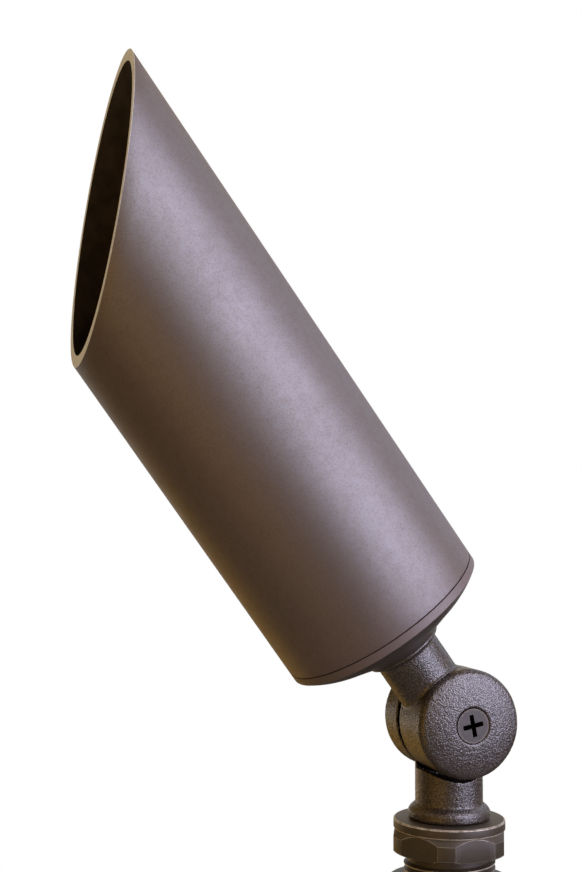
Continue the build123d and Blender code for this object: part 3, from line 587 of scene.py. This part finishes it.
# %% How every tree opens and closes
def open_tree(name, sizes):
    """A tree that takes these sizes and a Finish, and a wire for each of its inputs."""
    tree = bpy.data.node_groups.new(name, "GeometryNodeTree")
    for end in ("INPUT", "OUTPUT"):
        tree.interface.new_socket("Geometry", in_out=end, socket_type="NodeSocketGeometry")
    for key, value in sizes.items():
        socket = tree.interface.new_socket(key, in_out="INPUT", socket_type="NodeSocketFloat")
        socket.default_value = value
    tree.interface.new_socket("Finish", in_out="INPUT", socket_type="NodeSocketMaterial")
    graph = Graph(tree)
    entry = tree.nodes.new("NodeGroupInput")
    return graph, {socket.name: Wire(graph, socket) for socket in entry.outputs if socket.name}


def close_tree(graph, shape, finish):
    shape = graph.add("GeometryNodeRealizeInstances", {"Geometry": shape})
    shape = graph.add("GeometryNodeSetMaterial", {"Geometry": shape, "Material": finish})
    leave = graph.tree.nodes.new("NodeGroupOutput")
    graph.tree.links.new(shape.socket, leave.inputs[0])
    return graph.tree


# %% The lathe tree
MERGE = 2e-7


def lathe_tree():
    unused = dict.fromkeys(("Climb", "Fade", "Fade Radius", "Slope"), 0.0)
    graph, given = open_tree("lathe", {"Steps": 96.0, "Turns": 1.0, **unused})
    profile = given["Geometry"]
    count = graph.add("GeometryNodeAttributeDomainSize", {"Geometry": profile})
    grid_size = {"Vertices X": given["Steps"] + 1, "Vertices Y": count}
    grid = graph.add("GeometryNodeMeshGrid", grid_size)

    index = graph.add("GeometryNodeInputIndex")
    column = ((index + 0.5) / count).math("FLOOR")
    row = index - column * count

    def sampled(kind, value):
        inputs = {"Geometry": profile, "Value": value, "Index": row}
        return graph.add("GeometryNodeSampleIndex", inputs, data_type=kind)

    place = sampled("FLOAT_VECTOR", graph.add("GeometryNodeInputPosition"))
    share = sampled("FLOAT", graph.named("share"))
    drawn_radius, _, height = graph.split(place)

    turned = column / given["Steps"] * given["Turns"]
    ends = turned.math("MINIMUM", given["Turns"] - turned)
    run_out = (ends / given["Fade"].math("MAXIMUM", 1e-6)).math("MINIMUM", 1.0)
    whole = given["Fade"].math("LESS_THAN", 1e-5)
    run_out = run_out.math("MAXIMUM", whole)
    radius = given["Fade Radius"] + (drawn_radius - given["Fade Radius"]) * run_out
    angle = turned * (2 * pi)
    y = radius * angle.math("SINE")
    x = radius * angle.math("COSINE")
    z = height + turned * given["Climb"] + share * given["Slope"] * y
    point = graph.add("ShaderNodeCombineXYZ", {0: x, 1: y, 2: z})

    shape = graph.add("GeometryNodeSetPosition", {"Geometry": grid, "Position": point})
    shape = graph.add("GeometryNodeMergeByDistance", {"Geometry": shape, "Distance": MERGE})
    return close_tree(graph, shape, given["Finish"])


LATHE = lathe_tree()
print("lathe tree has", len(LATHE.nodes), "nodes")

# %% [markdown]
# A modifier's inputs are set by each socket's identifier, which we look up by name. The result
# becomes a plain mesh, its doubles are merged, its normals face outwards, and only then does it
# move to its place. The object itself stays at the origin.

# %% Run a tree and keep its mesh
def settle(piece):
    """Puts the evaluated mesh in the piece, and drops modifiers and empty material slots."""
    graph = bpy.context.evaluated_depsgraph_get()
    mesh = bpy.data.meshes.new_from_object(piece.evaluated_get(graph))
    mesh.name = piece.name
    if None in mesh.materials[:]:
        indices = np.empty(len(mesh.polygons), np.int32)
        mesh.polygons.foreach_get("material_index", indices)
        empty = mesh.materials[:].index(None)
        mesh.materials.pop(index=empty)
        mesh.polygons.foreach_set("material_index", indices - (indices > empty))
    piece.modifiers.clear()
    piece.data = mesh


def run_tree(piece, tree, values):
    modifier = piece.modifiers.new(tree.name, "NODES")
    modifier.node_group = tree
    for item in tree.interface.items_tree:
        if item.in_out == "INPUT" and item.name in values:
            modifier[item.identifier] = values[item.name]
    settle(piece)


def tidy_mesh(mesh, sharp_angle):
    """Merges doubles, turns the normals outwards and marks edges sharp by their angle."""
    work = bmesh.new()
    work.from_mesh(mesh)
    bmesh.ops.remove_doubles(work, verts=work.verts, dist=MERGE)
    bmesh.ops.dissolve_degenerate(work, edges=work.edges, dist=MERGE / 2)
    loose = [edge for edge in work.edges if not edge.link_faces]
    bmesh.ops.delete(work, geom=loose, context="EDGES")
    bmesh.ops.recalc_face_normals(work, faces=work.faces)
    work.to_mesh(mesh)
    work.free()
    mesh.shade_smooth()
    mesh.set_sharp_from_angle(angle=radians(sharp_angle))


def lathed(name, profile, finish_name, matrix=Matrix.Identity(4), sharp_angle=32, **sizes):
    """Spins (radius, height) or (radius, height, share) points in millimetres round an axis."""
    drawn = bpy.data.meshes.new(name + "_profile")
    points = [(p[0] * MM, 0, p[1] * MM) for p in profile]
    drawn.from_pydata(points, [(i, i + 1) for i in range(len(points) - 1)], [])
    share = drawn.attributes.new("share", "FLOAT", "POINT")
    share.data.foreach_set("value", [p[2] if len(p) > 2 else 0.0 for p in profile])
    piece = placed(name, drawn)
    values = {key.replace("_", " "): value for key, value in sizes.items()}
    run_tree(piece, LATHE, {**values, "Finish": finishes[finish_name]})
    tidy_mesh(piece.data, sharp_angle)
    piece.data.transform(matrix)
    print(name, len(piece.data.polygons), "faces")
    return piece


def rounded(points, radius, steps=3, most=0.45):
    """A profile with each corner eased by an arc that takes at most this share of a side."""
    eased = [points[0]]
    for before, corner, after in zip(points, points[1:], points[2:]):
        here = Vector(corner[:2])
        back = Vector(before[:2]) - here
        ahead = Vector(after[:2]) - here
        ease = min(radius, back.length * most, ahead.length * most)
        share = corner[2] if len(corner) > 2 else 0.0
        for step in range(steps + 1):
            t = step / steps
            start = here + back.normalized() * ease
            end = here + ahead.normalized() * ease
            point = start * (1 - t) ** 2 + here * 2 * t * (1 - t) + end * t**2
            eased.append((point.x, point.y, share))
    eased.append(points[-1])
    return eased


# %% [markdown]
# ## The tube
# The real tube is 62 mm brass pipe, faced at the back and sawn at a slant in front. Inside it has
# a ledge that the lens rests on and a groove for the spring ring. Its profile is one closed loop.
# The points at the mouth have a share of 1, and those along the walls a growing one, so that
# the rings between lean gradually and the faces stay even.

# %% Turn the tube
LEDGE_WIDTH = 2.7
LEDGE_BACK = 107.9
LEDGE_FRONT = 110.4
RING_GROOVE_BACK = 101.85
RING_GROOVE_FRONT = 103.25
RING_GROOVE_DEPTH = 0.8
SHROUD_BORE = SHROUD_RADIUS - SHROUD_WALL
TUBE_EDGE = 0.16


def tube_profile(outer_rings=24, inner_rings=10):
    length = CUT_CENTRE - SHROUD_START
    lead = CUT_CENTRE - LEDGE_FRONT
    shares = [k / outer_rings for k in range(outer_rings + 1)]
    outside = [(SHROUD_RADIUS, SHROUD_START + length * share, share) for share in shares]
    shares = [k / inner_rings for k in range(inner_rings)]
    inside = [(SHROUD_BORE, CUT_CENTRE - lead * share, 1 - share) for share in shares]
    ledge = [
        (SHROUD_BORE, LEDGE_FRONT), (SHROUD_BORE - LEDGE_WIDTH, LEDGE_FRONT),
        (SHROUD_BORE - LEDGE_WIDTH, LEDGE_BACK), (SHROUD_BORE, LEDGE_BACK),
    ]
    groove_floor = SHROUD_BORE + RING_GROOVE_DEPTH
    groove = [
        (SHROUD_BORE, RING_GROOVE_FRONT), (groove_floor, RING_GROOVE_FRONT),
        (groove_floor, RING_GROOVE_BACK), (SHROUD_BORE, RING_GROOVE_BACK),
    ]
    end_face = (SHROUD_RADIUS - SHROUD_WALL / 2, SHROUD_START)
    return [end_face, *outside, *inside, *ledge, *groove, (SHROUD_BORE, SHROUD_START), end_face]


def vectors(items, name):
    """One vector of each vertex or face, as rows of three numbers."""
    values = np.empty(len(items) * 3)
    items.foreach_get(name, values)
    return values.reshape(-1, 3)


def paint_tube(mesh):
    """The sawn face and its two eased edges are the rim; faces towards the axis are the inside."""
    turn_back = np.array(ON_HEAD.inverted().to_3x3())
    centres = (vectors(mesh.polygons, "center") - np.array(HEAD_CENTRE)) @ turn_back.T
    normals = vectors(mesh.polygons, "normal") @ turn_back.T
    above = (centres[:, 2] - CUT_CENTRE * MM) * sin(CUT_ANGLE) - centres[:, 1] * cos(CUT_ANGLE)
    radial = np.hypot(centres[:, 0], centres[:, 1])
    inwards = (normals[:, :2] * centres[:, :2]).sum(axis=1) < -0.5 * radial
    deep = radial < (SHROUD_BORE + 0.01) * MM
    kinds = np.where(above > -TUBE_EDGE * MM, 1, np.where(inwards | deep, 2, 0))
    mesh.materials.append(finishes["rim"])
    mesh.materials.append(finishes["inside"])
    mesh.polygons.foreach_set("material_index", kinds.astype(np.int32))
    print("rim faces", int((kinds == 1).sum()), "inside faces", int((kinds == 2).sum()))


tube_points = rounded(tube_profile(), TUBE_EDGE)
tube = lathed("turned_tube", tube_points, "shroud", ON_HEAD, Steps=288, Slope=CUT_SLOPE)
paint_tube(tube.data)
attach(tube, "glare_shroud")
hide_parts("shroud")

# %% [markdown]
# ## Castings
# A casting has no true edges: they are rounded by the sand, and the whole skin is uneven. We copy
# the CAD solid, remesh it into even small faces, and move each point along its normal by a few
# hundredths of a millimetre of noise. Where something fits, round the screw, in the seam and on
# the stem, the skin is machined smooth, so a `rough` attribute fades the noise there.

# %% The casting tree
def casting_tree():
    sizes = {"Depth": 0.0001, "Grain": 1000.0, "Swell": 0.0001, "Groove": 0.0, "Seed": 0.0}
    graph, given = open_tree("casting_skin", sizes)

    def noise(scale, detail):
        inputs = {"W": given["Seed"], "Scale": scale, "Detail": detail}
        return graph.add("ShaderNodeTexNoise", inputs, noise_dimensions="4D")

    rough, seam = graph.named("rough"), graph.named("seam")
    grain = noise(given["Grain"], 2.0).between(0.30, 0.70) - 0.55
    swell = noise(given["Grain"] / 9, 1.0) - 0.5
    ragged = noise(given["Grain"] / 2, 2.0).between(0.25, 0.75) + 0.4
    rise = (grain * given["Depth"] + swell * given["Swell"]) * rough
    rise = rise - seam * ragged * given["Groove"]
    normal = graph.add("GeometryNodeInputNormal")
    offset = graph.add("ShaderNodeVectorMath", {0: normal, "Scale": rise}, operation="SCALE")
    inputs = {"Geometry": given["Geometry"], "Offset": offset}
    shape = graph.add("GeometryNodeSetPosition", inputs)
    return close_tree(graph, shape, given["Finish"])


CASTING = casting_tree()
print("casting tree has", len(CASTING.nodes), "nodes")

# %% Copy a CAD solid
def solid_copy(node_name, name):
    """A copy of a CAD piece's mesh with its loose triangles joined."""
    mesh = nodes[node_name].data.copy()
    mesh.name = name
    mesh.attributes.remove(mesh.attributes["custom_normal"])
    work = bmesh.new()
    work.from_mesh(mesh)
    bmesh.ops.remove_doubles(work, verts=work.verts, dist=1e-6)
    work.to_mesh(mesh)
    work.free()
    mesh.materials.clear()
    return placed(name, mesh)


def soft_step(values, low, high):
    t = np.clip((values - low) / (high - low), 0, 1)
    return t * t * (3 - 2 * t)


# %% Joint and rim of the knuckle
KNUCKLE_RADIUS = 15.6
SEAM_MIDDLE = -1.46
SEAM_GAPE = 0.35
SEAM_GAPE_ABOVE = 0.40
SEAM_FADE = 0.6
SEAM_INNER = (14.0 * MM, 14.6 * MM)
SEAM_OUTER = (15.8 * MM, 16.2 * MM)
RIM_EASE = 2.0
DISC_PLAY = 0.15
DOME = 0.9
DOME_FADE = (6, 1)


def from_pin(places):
    """How far each point is from the axis of the knuckle's pin."""
    return np.hypot(places[:, 1], places[:, 2] - PIN)


def near_seam(places):
    """1 on the skin at the joint of the two halves, gaping more higher up: groove and painted
    shade.
    """
    reach = from_pin(places)
    away = np.abs(places[:, 0] - SEAM_MIDDLE * MM)
    upper = soft_step(places[:, 2], PIN - 15 * MM, PIN + 2 * MM)
    gape = (SEAM_GAPE + SEAM_GAPE_ABOVE * upper) * MM
    on_rim = soft_step(reach, *SEAM_INNER) * (1 - soft_step(reach, *SEAM_OUTER))
    return (1 - soft_step(away - gape, 0, SEAM_FADE * MM)) * on_rim


def soften_rim(places, face_x):
    """Rounds the disc's outer edge as sand leaves it, and lets its face stand out in a dome."""
    side = np.sign(face_x)
    across = from_pin(places)
    ease = RIM_EASE * MM
    out = (across - (KNUCKLE_RADIUS - RIM_EASE) * MM) / ease
    forth = (places[:, 0] * side - (abs(face_x) - RIM_EASE) * MM) / ease
    size = np.hypot(out, forth)
    on_disc = across < (KNUCKLE_RADIUS + DISC_PLAY) * MM
    corner = (out > 0) & (forth > 0) & (size > 1) & on_disc
    shift = np.where(corner, 1 / np.maximum(size, 1e-9) - 1, 0.0) * ease
    new_across = across + out * shift
    places[:, 0] += side * forth * shift
    fade_from, fade_to = ((abs(face_x) - depth) * MM for depth in DOME_FADE)
    near_face = soft_step(places[:, 0] * side, fade_from, fade_to)
    fall = np.minimum(across / (KNUCKLE_RADIUS * MM), 1) ** 4 * DOME * MM
    places[:, 0] -= side * fall * near_face * on_disc
    ratio = new_across / np.maximum(across, 1e-9)
    places[:, 1] *= ratio
    places[:, 2] = PIN + (places[:, 2] - PIN) * ratio


# %% Make the two castings
HEAD_FACE = 15.5
BASE_FACE = -13.4
HEAD_BORE = 5.6
BASE_BORE = 3.4
SMOOTH_BY_SEAM = (0.2, 0.5)
COLLAR = (26.6 * MM, 27.1 * MM)
FOOT = (47.8 * MM, 48.4 * MM)
UNDER_DISC = (16.5 * MM, 17.5 * MM)
SKIN = {"Depth": 0.06 * MM, "Grain": 1500.0, "Swell": 0.15 * MM, "Groove": 0.8 * MM}


def casting(node_name, name, rough_at, face_x, seed):
    piece = solid_copy(node_name, name)
    remesh = piece.modifiers.new("even_faces", "REMESH")
    remesh.mode = "VOXEL"
    remesh.voxel_size = 0.31 * MM
    remesh.use_smooth_shade = True
    settle(piece)
    places = vectors(piece.data.vertices, "co")
    soften_rim(places, face_x)
    piece.data.vertices.foreach_set("co", places.ravel())
    for attribute, values in (("rough", rough_at(places)), ("seam", near_seam(places))):
        layer = piece.data.attributes.new(attribute, "FLOAT", "POINT")
        layer.data.foreach_set("value", values.astype(np.float32))
    run_tree(piece, CASTING, {**SKIN, "Seed": seed, "Finish": finishes["cast"]})
    piece.data.shade_smooth()
    print(name, len(piece.data.polygons), "faces")
    return piece


def away_from_pin(places, clear_of):
    """1 on the outside skin, 0 near the screw and inside the bores."""
    return soft_step(from_pin(places), clear_of * MM, (clear_of + 0.5) * MM)


def head_skin(places):
    near, clear = ((SEAM_MIDDLE + gap) * MM for gap in SMOOTH_BY_SEAM)
    seam = soft_step(places[:, 0], near, clear)
    upright = places - np.array(HEAD_CENTRE)
    along = -sin(HEAD_TILT) * upright[:, 1] + cos(HEAD_TILT) * upright[:, 2]
    collar = 1 - soft_step(along, *COLLAR)
    return away_from_pin(places, HEAD_BORE) * seam * collar


def base_skin(places):
    near, clear = ((SEAM_MIDDLE - gap) * MM for gap in SMOOTH_BY_SEAM)
    seam = 1 - soft_step(places[:, 0], clear, near)
    below = soft_step(PIN - places[:, 2], *UNDER_DISC)
    foot = soft_step(places[:, 2], *FOOT)
    return away_from_pin(places, BASE_BORE) * np.maximum(seam, below) * foot


front_casting = casting("knuckle_head", "front_casting", head_skin, HEAD_FACE, 3.0)
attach(front_casting, "head")
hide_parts("knuckle_head")

back_casting = casting("knuckle_base", "back_casting", base_skin, BASE_FACE, 11.0)
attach(back_casting, "base")
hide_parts("knuckle_base")

# %% [markdown]
# ## Edges that hands have rubbed
# The cap, the ring and the hexagon keep their CAD shape, but no real edge is knife sharp: a file
# breaks it, and fingers polish it. The Bevel modifier can give its new faces a material of their
# own, which draws those pale lines.

# %% Bevelled copies
def eased_copy(node_name, name, finish_name, width_mm, edge_finish=None, angle=28):
    """A copy whose edges are broken, in a finish of their own."""
    piece = solid_copy(node_name, name)
    for finish in (finish_name, edge_finish or finish_name):
        piece.data.materials.append(finishes[finish])
    piece.data.polygons.foreach_set("material_index", [0] * len(piece.data.polygons))
    bevel = piece.modifiers.new("eased_edges", "BEVEL")
    bevel.width = width_mm * MM
    bevel.segments = 2
    bevel.limit_method = "ANGLE"
    bevel.angle_limit = radians(angle)
    bevel.material = 1
    settle(piece)
    piece.data.shade_smooth()
    piece.data.set_sharp_from_angle(angle=radians(14))
    print(name, len(piece.data.polygons), "faces")
    return piece


cap = eased_copy("back_cap", "turned_cap", "cap", 0.12)
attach(cap, "head")
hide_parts("back_cap")

ring = eased_copy("seat_ring", "machined_ring", "machined", 0.16, "edge", 20)
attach(ring, "spike")
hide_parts("seat_ring")

spike = eased_copy("ground_spike", "moulded_spike", "plastic", 0.35)
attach(spike, "spike")
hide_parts("ground_spike")

bushing = eased_copy("hex_bushing", "hex_bushing_body", "machined", 0.20, "edge", 20)

# %% [markdown]
# ## The thread
# The CAD model has rings in place of the thread, which is enough to weigh it. A real pipe thread
# is one helix, which the lathe tree winds: its profile is one ridge, each turn climbs by the
# pitch, and at both ends it runs out into the core. We cut the bushing's copy off in the relief
# under the hexagon, and put a plain core with the ridge in place of the rings.

# %% Wind the thread
THREAD_RADIUS = 13.34
THREAD_ROOT = 12.24
THREAD_PITCH = 1.814
THREAD_CREST = 0.3
THREAD_BOTTOM = 18.0
THREAD_TOP = 37.4
RELIEF_CUT = 38.0
BUSHING_BORE = 10.48


def cut_off_below(mesh, height):
    """Removes what is below a height and closes the ring-shaped cut."""
    work = bmesh.new()
    work.from_mesh(mesh)
    everything = [*work.verts, *work.edges, *work.faces]
    plane = {"plane_co": (0, 0, height), "plane_no": (0, 0, 1), "clear_inner": True}
    cut = bmesh.ops.bisect_plane(work, geom=everything, **plane)["geom_cut"]
    edges = [part for part in cut if isinstance(part, bmesh.types.BMEdge)]
    bmesh.ops.bridge_loops(work, edges=edges)
    work.to_mesh(mesh)
    work.free()


def join(piece, *others):
    """Adds the meshes of other pieces to one, and removes those pieces."""
    work = bmesh.new()
    for part in (piece, *others):
        work.from_mesh(part.data)
    work.to_mesh(piece.data)
    work.free()
    for part in others:
        bpy.data.objects.remove(part)


cut_off_below(bushing.data, RELIEF_CUT * MM)
core_points = [
    (BUSHING_BORE, RELIEF_CUT), (BUSHING_BORE, THREAD_BOTTOM), (THREAD_ROOT, THREAD_BOTTOM),
    (THREAD_ROOT, RELIEF_CUT), (BUSHING_BORE, RELIEF_CUT),
]
core = lathed("thread_core", core_points, "machined", Steps=128)
half_foot = THREAD_PITCH * 0.46
sunk = THREAD_ROOT - 0.1
ridge_points = [
    (sunk, -half_foot), (THREAD_RADIUS, -THREAD_CREST / 2), (THREAD_RADIUS, THREAD_CREST / 2),
    (sunk, half_foot), (sunk, -half_foot),
]
turns = (THREAD_TOP - THREAD_BOTTOM - 2 * half_foot) / THREAD_PITCH
first_turn = Matrix.Translation((0, 0, (THREAD_BOTTOM + half_foot) * MM))
ridge = lathed(
    "thread_ridge", ridge_points, "machined", first_turn,
    Steps=640, Turns=turns, Climb=THREAD_PITCH * MM, Fade=0.4, Fade_Radius=sunk * MM,
)
join(bushing, core, ridge)
crest = (THREAD_RADIUS - 0.05) * MM
for face in bushing.data.polygons:
    if face.center.z < THREAD_TOP * MM and face.center.xy.length > crest:
        face.material_index = 1
print("thread turns", round(turns, 2))
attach(bushing, "spike")
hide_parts("hex_bushing")

# %% [markdown]
# ## The lamp inside
# Behind the lens sits a 50 mm reflector lamp. Its bowl is pressed glass with rows of small flat
# mirrors. We turn it on the lathe with straight steps for the rows, and then pull the inner
# points onto the sides of a polygon, so that the outside stays round. The capsule is a hollow
# tube, open at its foot, with a coiled filament.

# %% Turn the bowl and cut its facets
LAMP_FRONT = 97.8
LAMP_RADIUS = 25.0
RIM_BACK = 94.8
RIM_INNER = 23.4
GLASS_BACK = 96.1
BOWL_TOP = (23.8, 94.0)
BOWL_FOOT = (8.2, 65.8)
INNER_TOP = (22.3, 94.8)
INNER_FOOT = (7.3, 67.3)
FLOOR_HOLE = 4.4
BOWL_BULGE = 3.4
FACETS = 32
FACET_ROWS = 9


def bowed(start, end, bulge, steps):
    """Points from start to end along a shallow bow that stands out to the right."""
    start, along = Vector(start), Vector(end) - Vector(start)
    side = Vector((along.y, -along.x)).normalized() * bulge
    shares = [k / steps for k in range(steps + 1)]
    return [tuple(start + along * t + side * 4 * t * (1 - t)) for t in shares]


inner_curve = bowed(INNER_TOP, INNER_FOOT, -BOWL_BULGE, FACET_ROWS)
bowl_points = [
    (FLOOR_HOLE, BOWL_FOOT[1]), *bowed(BOWL_FOOT, BOWL_TOP, BOWL_BULGE, 26),
    (LAMP_RADIUS, RIM_BACK), (LAMP_RADIUS, LAMP_FRONT), (RIM_INNER, LAMP_FRONT),
    (RIM_INNER, GLASS_BACK), (INNER_TOP[0], GLASS_BACK), *inner_curve,
    (FLOOR_HOLE, INNER_FOOT[1]), (FLOOR_HOLE, BOWL_FOOT[1]),
]
bowl = lathed("faceted_bowl", bowl_points, "mirror", sharp_angle=4, Steps=FACETS * 6)
places = vectors(bowl.data.vertices, "co")
radius = np.hypot(places[:, 0], places[:, 1])
heights, radii = zip(*sorted((h * MM, r * MM) for r, h in inner_curve))
on_inside = radius < np.interp(places[:, 2], heights, radii) + 0.4 * MM
on_inside &= (places[:, 2] > heights[0] - 1e-5) & (places[:, 2] < heights[-1] + 1e-5)
part_turn = np.arctan2(places[:, 1], places[:, 0]) % (2 * pi / FACETS) - pi / FACETS
pull = np.where(on_inside, cos(pi / FACETS) / np.cos(part_turn), 1.0)
places[:, :2] *= pull[:, None]
bowl.data.vertices.foreach_set("co", places.ravel())
bowl.data.set_sharp_from_angle(angle=radians(4))
bowl.data.transform(ON_HEAD)
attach(bowl, "head")
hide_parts("lamp_reflector")

# %% The capsule and its filament
CAPSULE_RADIUS = 3.6
CAPSULE_WALL = 0.9
CAPSULE_FOOT = 60.43
CAPSULE_DOME = 80.83
FILAMENT_FOOT = 71.5
FILAMENT_LENGTH = 4.3
COIL_RADIUS = 0.75
WIRE_RADIUS = 0.13
POST_RADIUS = 0.2
POST_ASIDE = 0.78
POST_FOOT = CAPSULE_FOOT + 0.6


def dome(radius, steps=10):
    """Points of a quarter circle from the tube's side to the axis."""
    angles = [pi / 2 * k / steps for k in range(steps + 1)]
    return [(radius * cos(a), CAPSULE_DOME + radius * sin(a)) for a in angles]


inner_radius = CAPSULE_RADIUS - CAPSULE_WALL
capsule_points = [
    (CAPSULE_RADIUS, CAPSULE_FOOT), *dome(CAPSULE_RADIUS), *reversed(dome(inner_radius)),
    (inner_radius, CAPSULE_FOOT), (CAPSULE_RADIUS, CAPSULE_FOOT),
]
capsule = lathed("quartz_capsule", capsule_points, "quartz", ON_HEAD, Steps=48)
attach(capsule, "head")
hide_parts("lamp_capsule")

angles = [pi / 4 * k for k in range(9)]
wire_points = [(COIL_RADIUS + WIRE_RADIUS * cos(a), WIRE_RADIUS * sin(a)) for a in angles]
place = ON_HEAD @ Matrix.Translation((0, 0, FILAMENT_FOOT * MM))
filament = lathed("filament", wire_points, "tungsten", place, Steps=220, Turns=9.5, Climb=0.45 * MM)
posts = []
for side, top in ((1, FILAMENT_FOOT), (-1, FILAMENT_FOOT + FILAMENT_LENGTH)):
    post_points = [(0, POST_FOOT), (POST_RADIUS, POST_FOOT), (POST_RADIUS, top), (0, top)]
    aside = ON_HEAD @ Matrix.Translation((side * POST_ASIDE * MM, 0, 0))
    posts.append(lathed("filament_post", post_points, "tungsten", aside, Steps=12))
join(filament, *posts)
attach(filament, "head")

# %% [markdown]
# ## Lights
# The photograph has one large cool softbox to the right of the camera, which draws the long pale
# band down the tube, and a white backdrop. A second softbox, further round on the right, lights
# its right edge. Five smaller lamps do the rest: one by the camera, two warm ones low down,
# in front on the left and behind, one along the tube's axis for the sawn rim, and one high at the
# back. Their strengths were fitted together to the photograph's tones.

# %% Area lamps
TUBE_MIDDLE = ON_HEAD @ Vector((0, 0, 0.11))
KEY_PLACE = Vector((0.747, 0.605, 0.274)).normalized() * 0.62


def softbox(name, away, size, power, colour):
    """A lamp that aims at the tube's middle from this far away."""
    data = bpy.data.lights.new(name, "AREA")
    data.shape = "RECTANGLE"
    data.size, data.size_y = size
    data.energy = power
    data.color = colour
    lamp = placed(name, data)
    lamp.visible_camera = False
    lamp.location = TUBE_MIDDLE + Vector(away)
    lamp.rotation_mode = "QUATERNION"
    lamp.rotation_quaternion = (TUBE_MIDDLE - lamp.location).to_track_quat("-Z", "Y")


softboxes = {
    "key_softbox": (KEY_PLACE, (0.56, 0.80), 4.5, (0.73, 0.73, 1.0)),
    "side_softbox": ((-0.30, 0.61, 0.32), (0.45, 0.70), 1.05, (0.60, 0.74, 1.0)),
    "low_fill": ((0.344, -0.471, -0.176), (0.42, 0.42), 0.27, (1.0, 0.55, 0.10)),
    "near_fill": ((0.584, 0.008, 0.174), (0.42, 0.42), 0.36, (0.90, 0.92, 1.0)),
    "warm_fill": ((-0.42, -0.08, -0.28), (0.30, 0.36), 0.19, (1.0, 0.53, 0.06)),
    "mouth_fill": ((-0.03, -0.62, 0.70), (0.24, 0.24), 2.1, (0.98, 0.98, 0.88)),
    "back_light": ((-0.60, 0.20, 0.55), (0.60, 0.60), 0.45, (1.0, 0.78, 0.50)),
}
for name, lamp_sizes in softboxes.items():
    softbox(name, *lamp_sizes)
print("area lamps", len(softboxes))

# %% [markdown]
# ## The studio round the lamp
# The backdrop is white to the camera, also through glass. Metal mirrors it as white only where it
# really stands, behind the lamp. Elsewhere metal sees a dim, warm room, because with white all
# round the undersides turn grey. The Light Path node tells these rays apart.

# %% World and floor
BACKDROP = -to_camera
BACKDROP_REACH = 24
ROOM = (0.22, 0.12, 0.02)
WHITE = (1.0, 1.0, 1.0)
FLOOR_RADIUS = 12.0
FLOOR_GAP = 0.0005
FLOOR_WHITENS = (0.16, 0.48)
SWEEP_BEGINS = (0.8, 1.8)


def make_world():
    world = bpy.data.worlds.new("studio")
    scene.world = world
    world.use_nodes = True
    graph = Graph(world.node_tree)
    graph.tree.nodes.clear()
    seen, mirrored = graph.rays()
    inputs = {0: graph.add("ShaderNodeTexCoord"), 1: tuple(BACKDROP)}
    facing = graph.add("ShaderNodeVectorMath", inputs, output=1, operation="DOT_PRODUCT")
    window = facing.between(cos(radians(BACKDROP_REACH)), cos(radians(BACKDROP_REACH / 2)))
    white = (seen + mirrored * window).math("MINIMUM", 1.0)
    inputs = {"Color": graph.mix(white, ROOM, WHITE), "Strength": 1.0}
    background = graph.add("ShaderNodeBackground", inputs)
    output = graph.tree.nodes.new("ShaderNodeOutputWorld")
    graph.tree.links.new(background.socket, output.inputs[0])


def make_floor():
    """A pale round floor, white from a little way out, that throws back less than it shows."""
    finish = Finish("pale_floor", Roughness=0.9)
    x, y, _ = finish.split(finish.place)
    far = (x * x + y * y).math("SQRT").between(*FLOOR_WHITENS)
    behind = (x * BACKDROP.x + y * BACKDROP.y).between(*SWEEP_BEGINS)
    seen, mirrored = finish.rays()
    white = (seen + mirrored * behind).math("MINIMUM", 1.0)
    finish.set("Base Color", finish.mix(white, (0.20, 0.19, 0.18), (0.82, 0.82, 0.82)))
    glow = finish.add("ShaderNodeEmission", {"Color": (*WHITE, 1), "Strength": 1.0})
    base = Wire(finish, finish.shader.outputs[0])
    both = finish.add("ShaderNodeMixShader", {0: (far * 0.5 + 0.5) * white, 1: base, 2: glow})
    finish.tree.links.new(both.socket, finish.output.inputs[0])
    mesh = bpy.data.meshes.new("floor")
    work = bmesh.new()
    bmesh.ops.create_circle(work, cap_ends=True, segments=96, radius=FLOOR_RADIUS)
    work.to_mesh(mesh)
    work.free()
    mesh.transform(Matrix.Translation((0, 0, cad_box[0].z - FLOOR_GAP)))
    mesh.materials.append(finish.material)
    floor = placed("floor", mesh)


make_world()
make_floor()
scene.view_settings.view_transform = "Standard"
print("floor at", round(cad_box[0].z - FLOOR_GAP, 4))
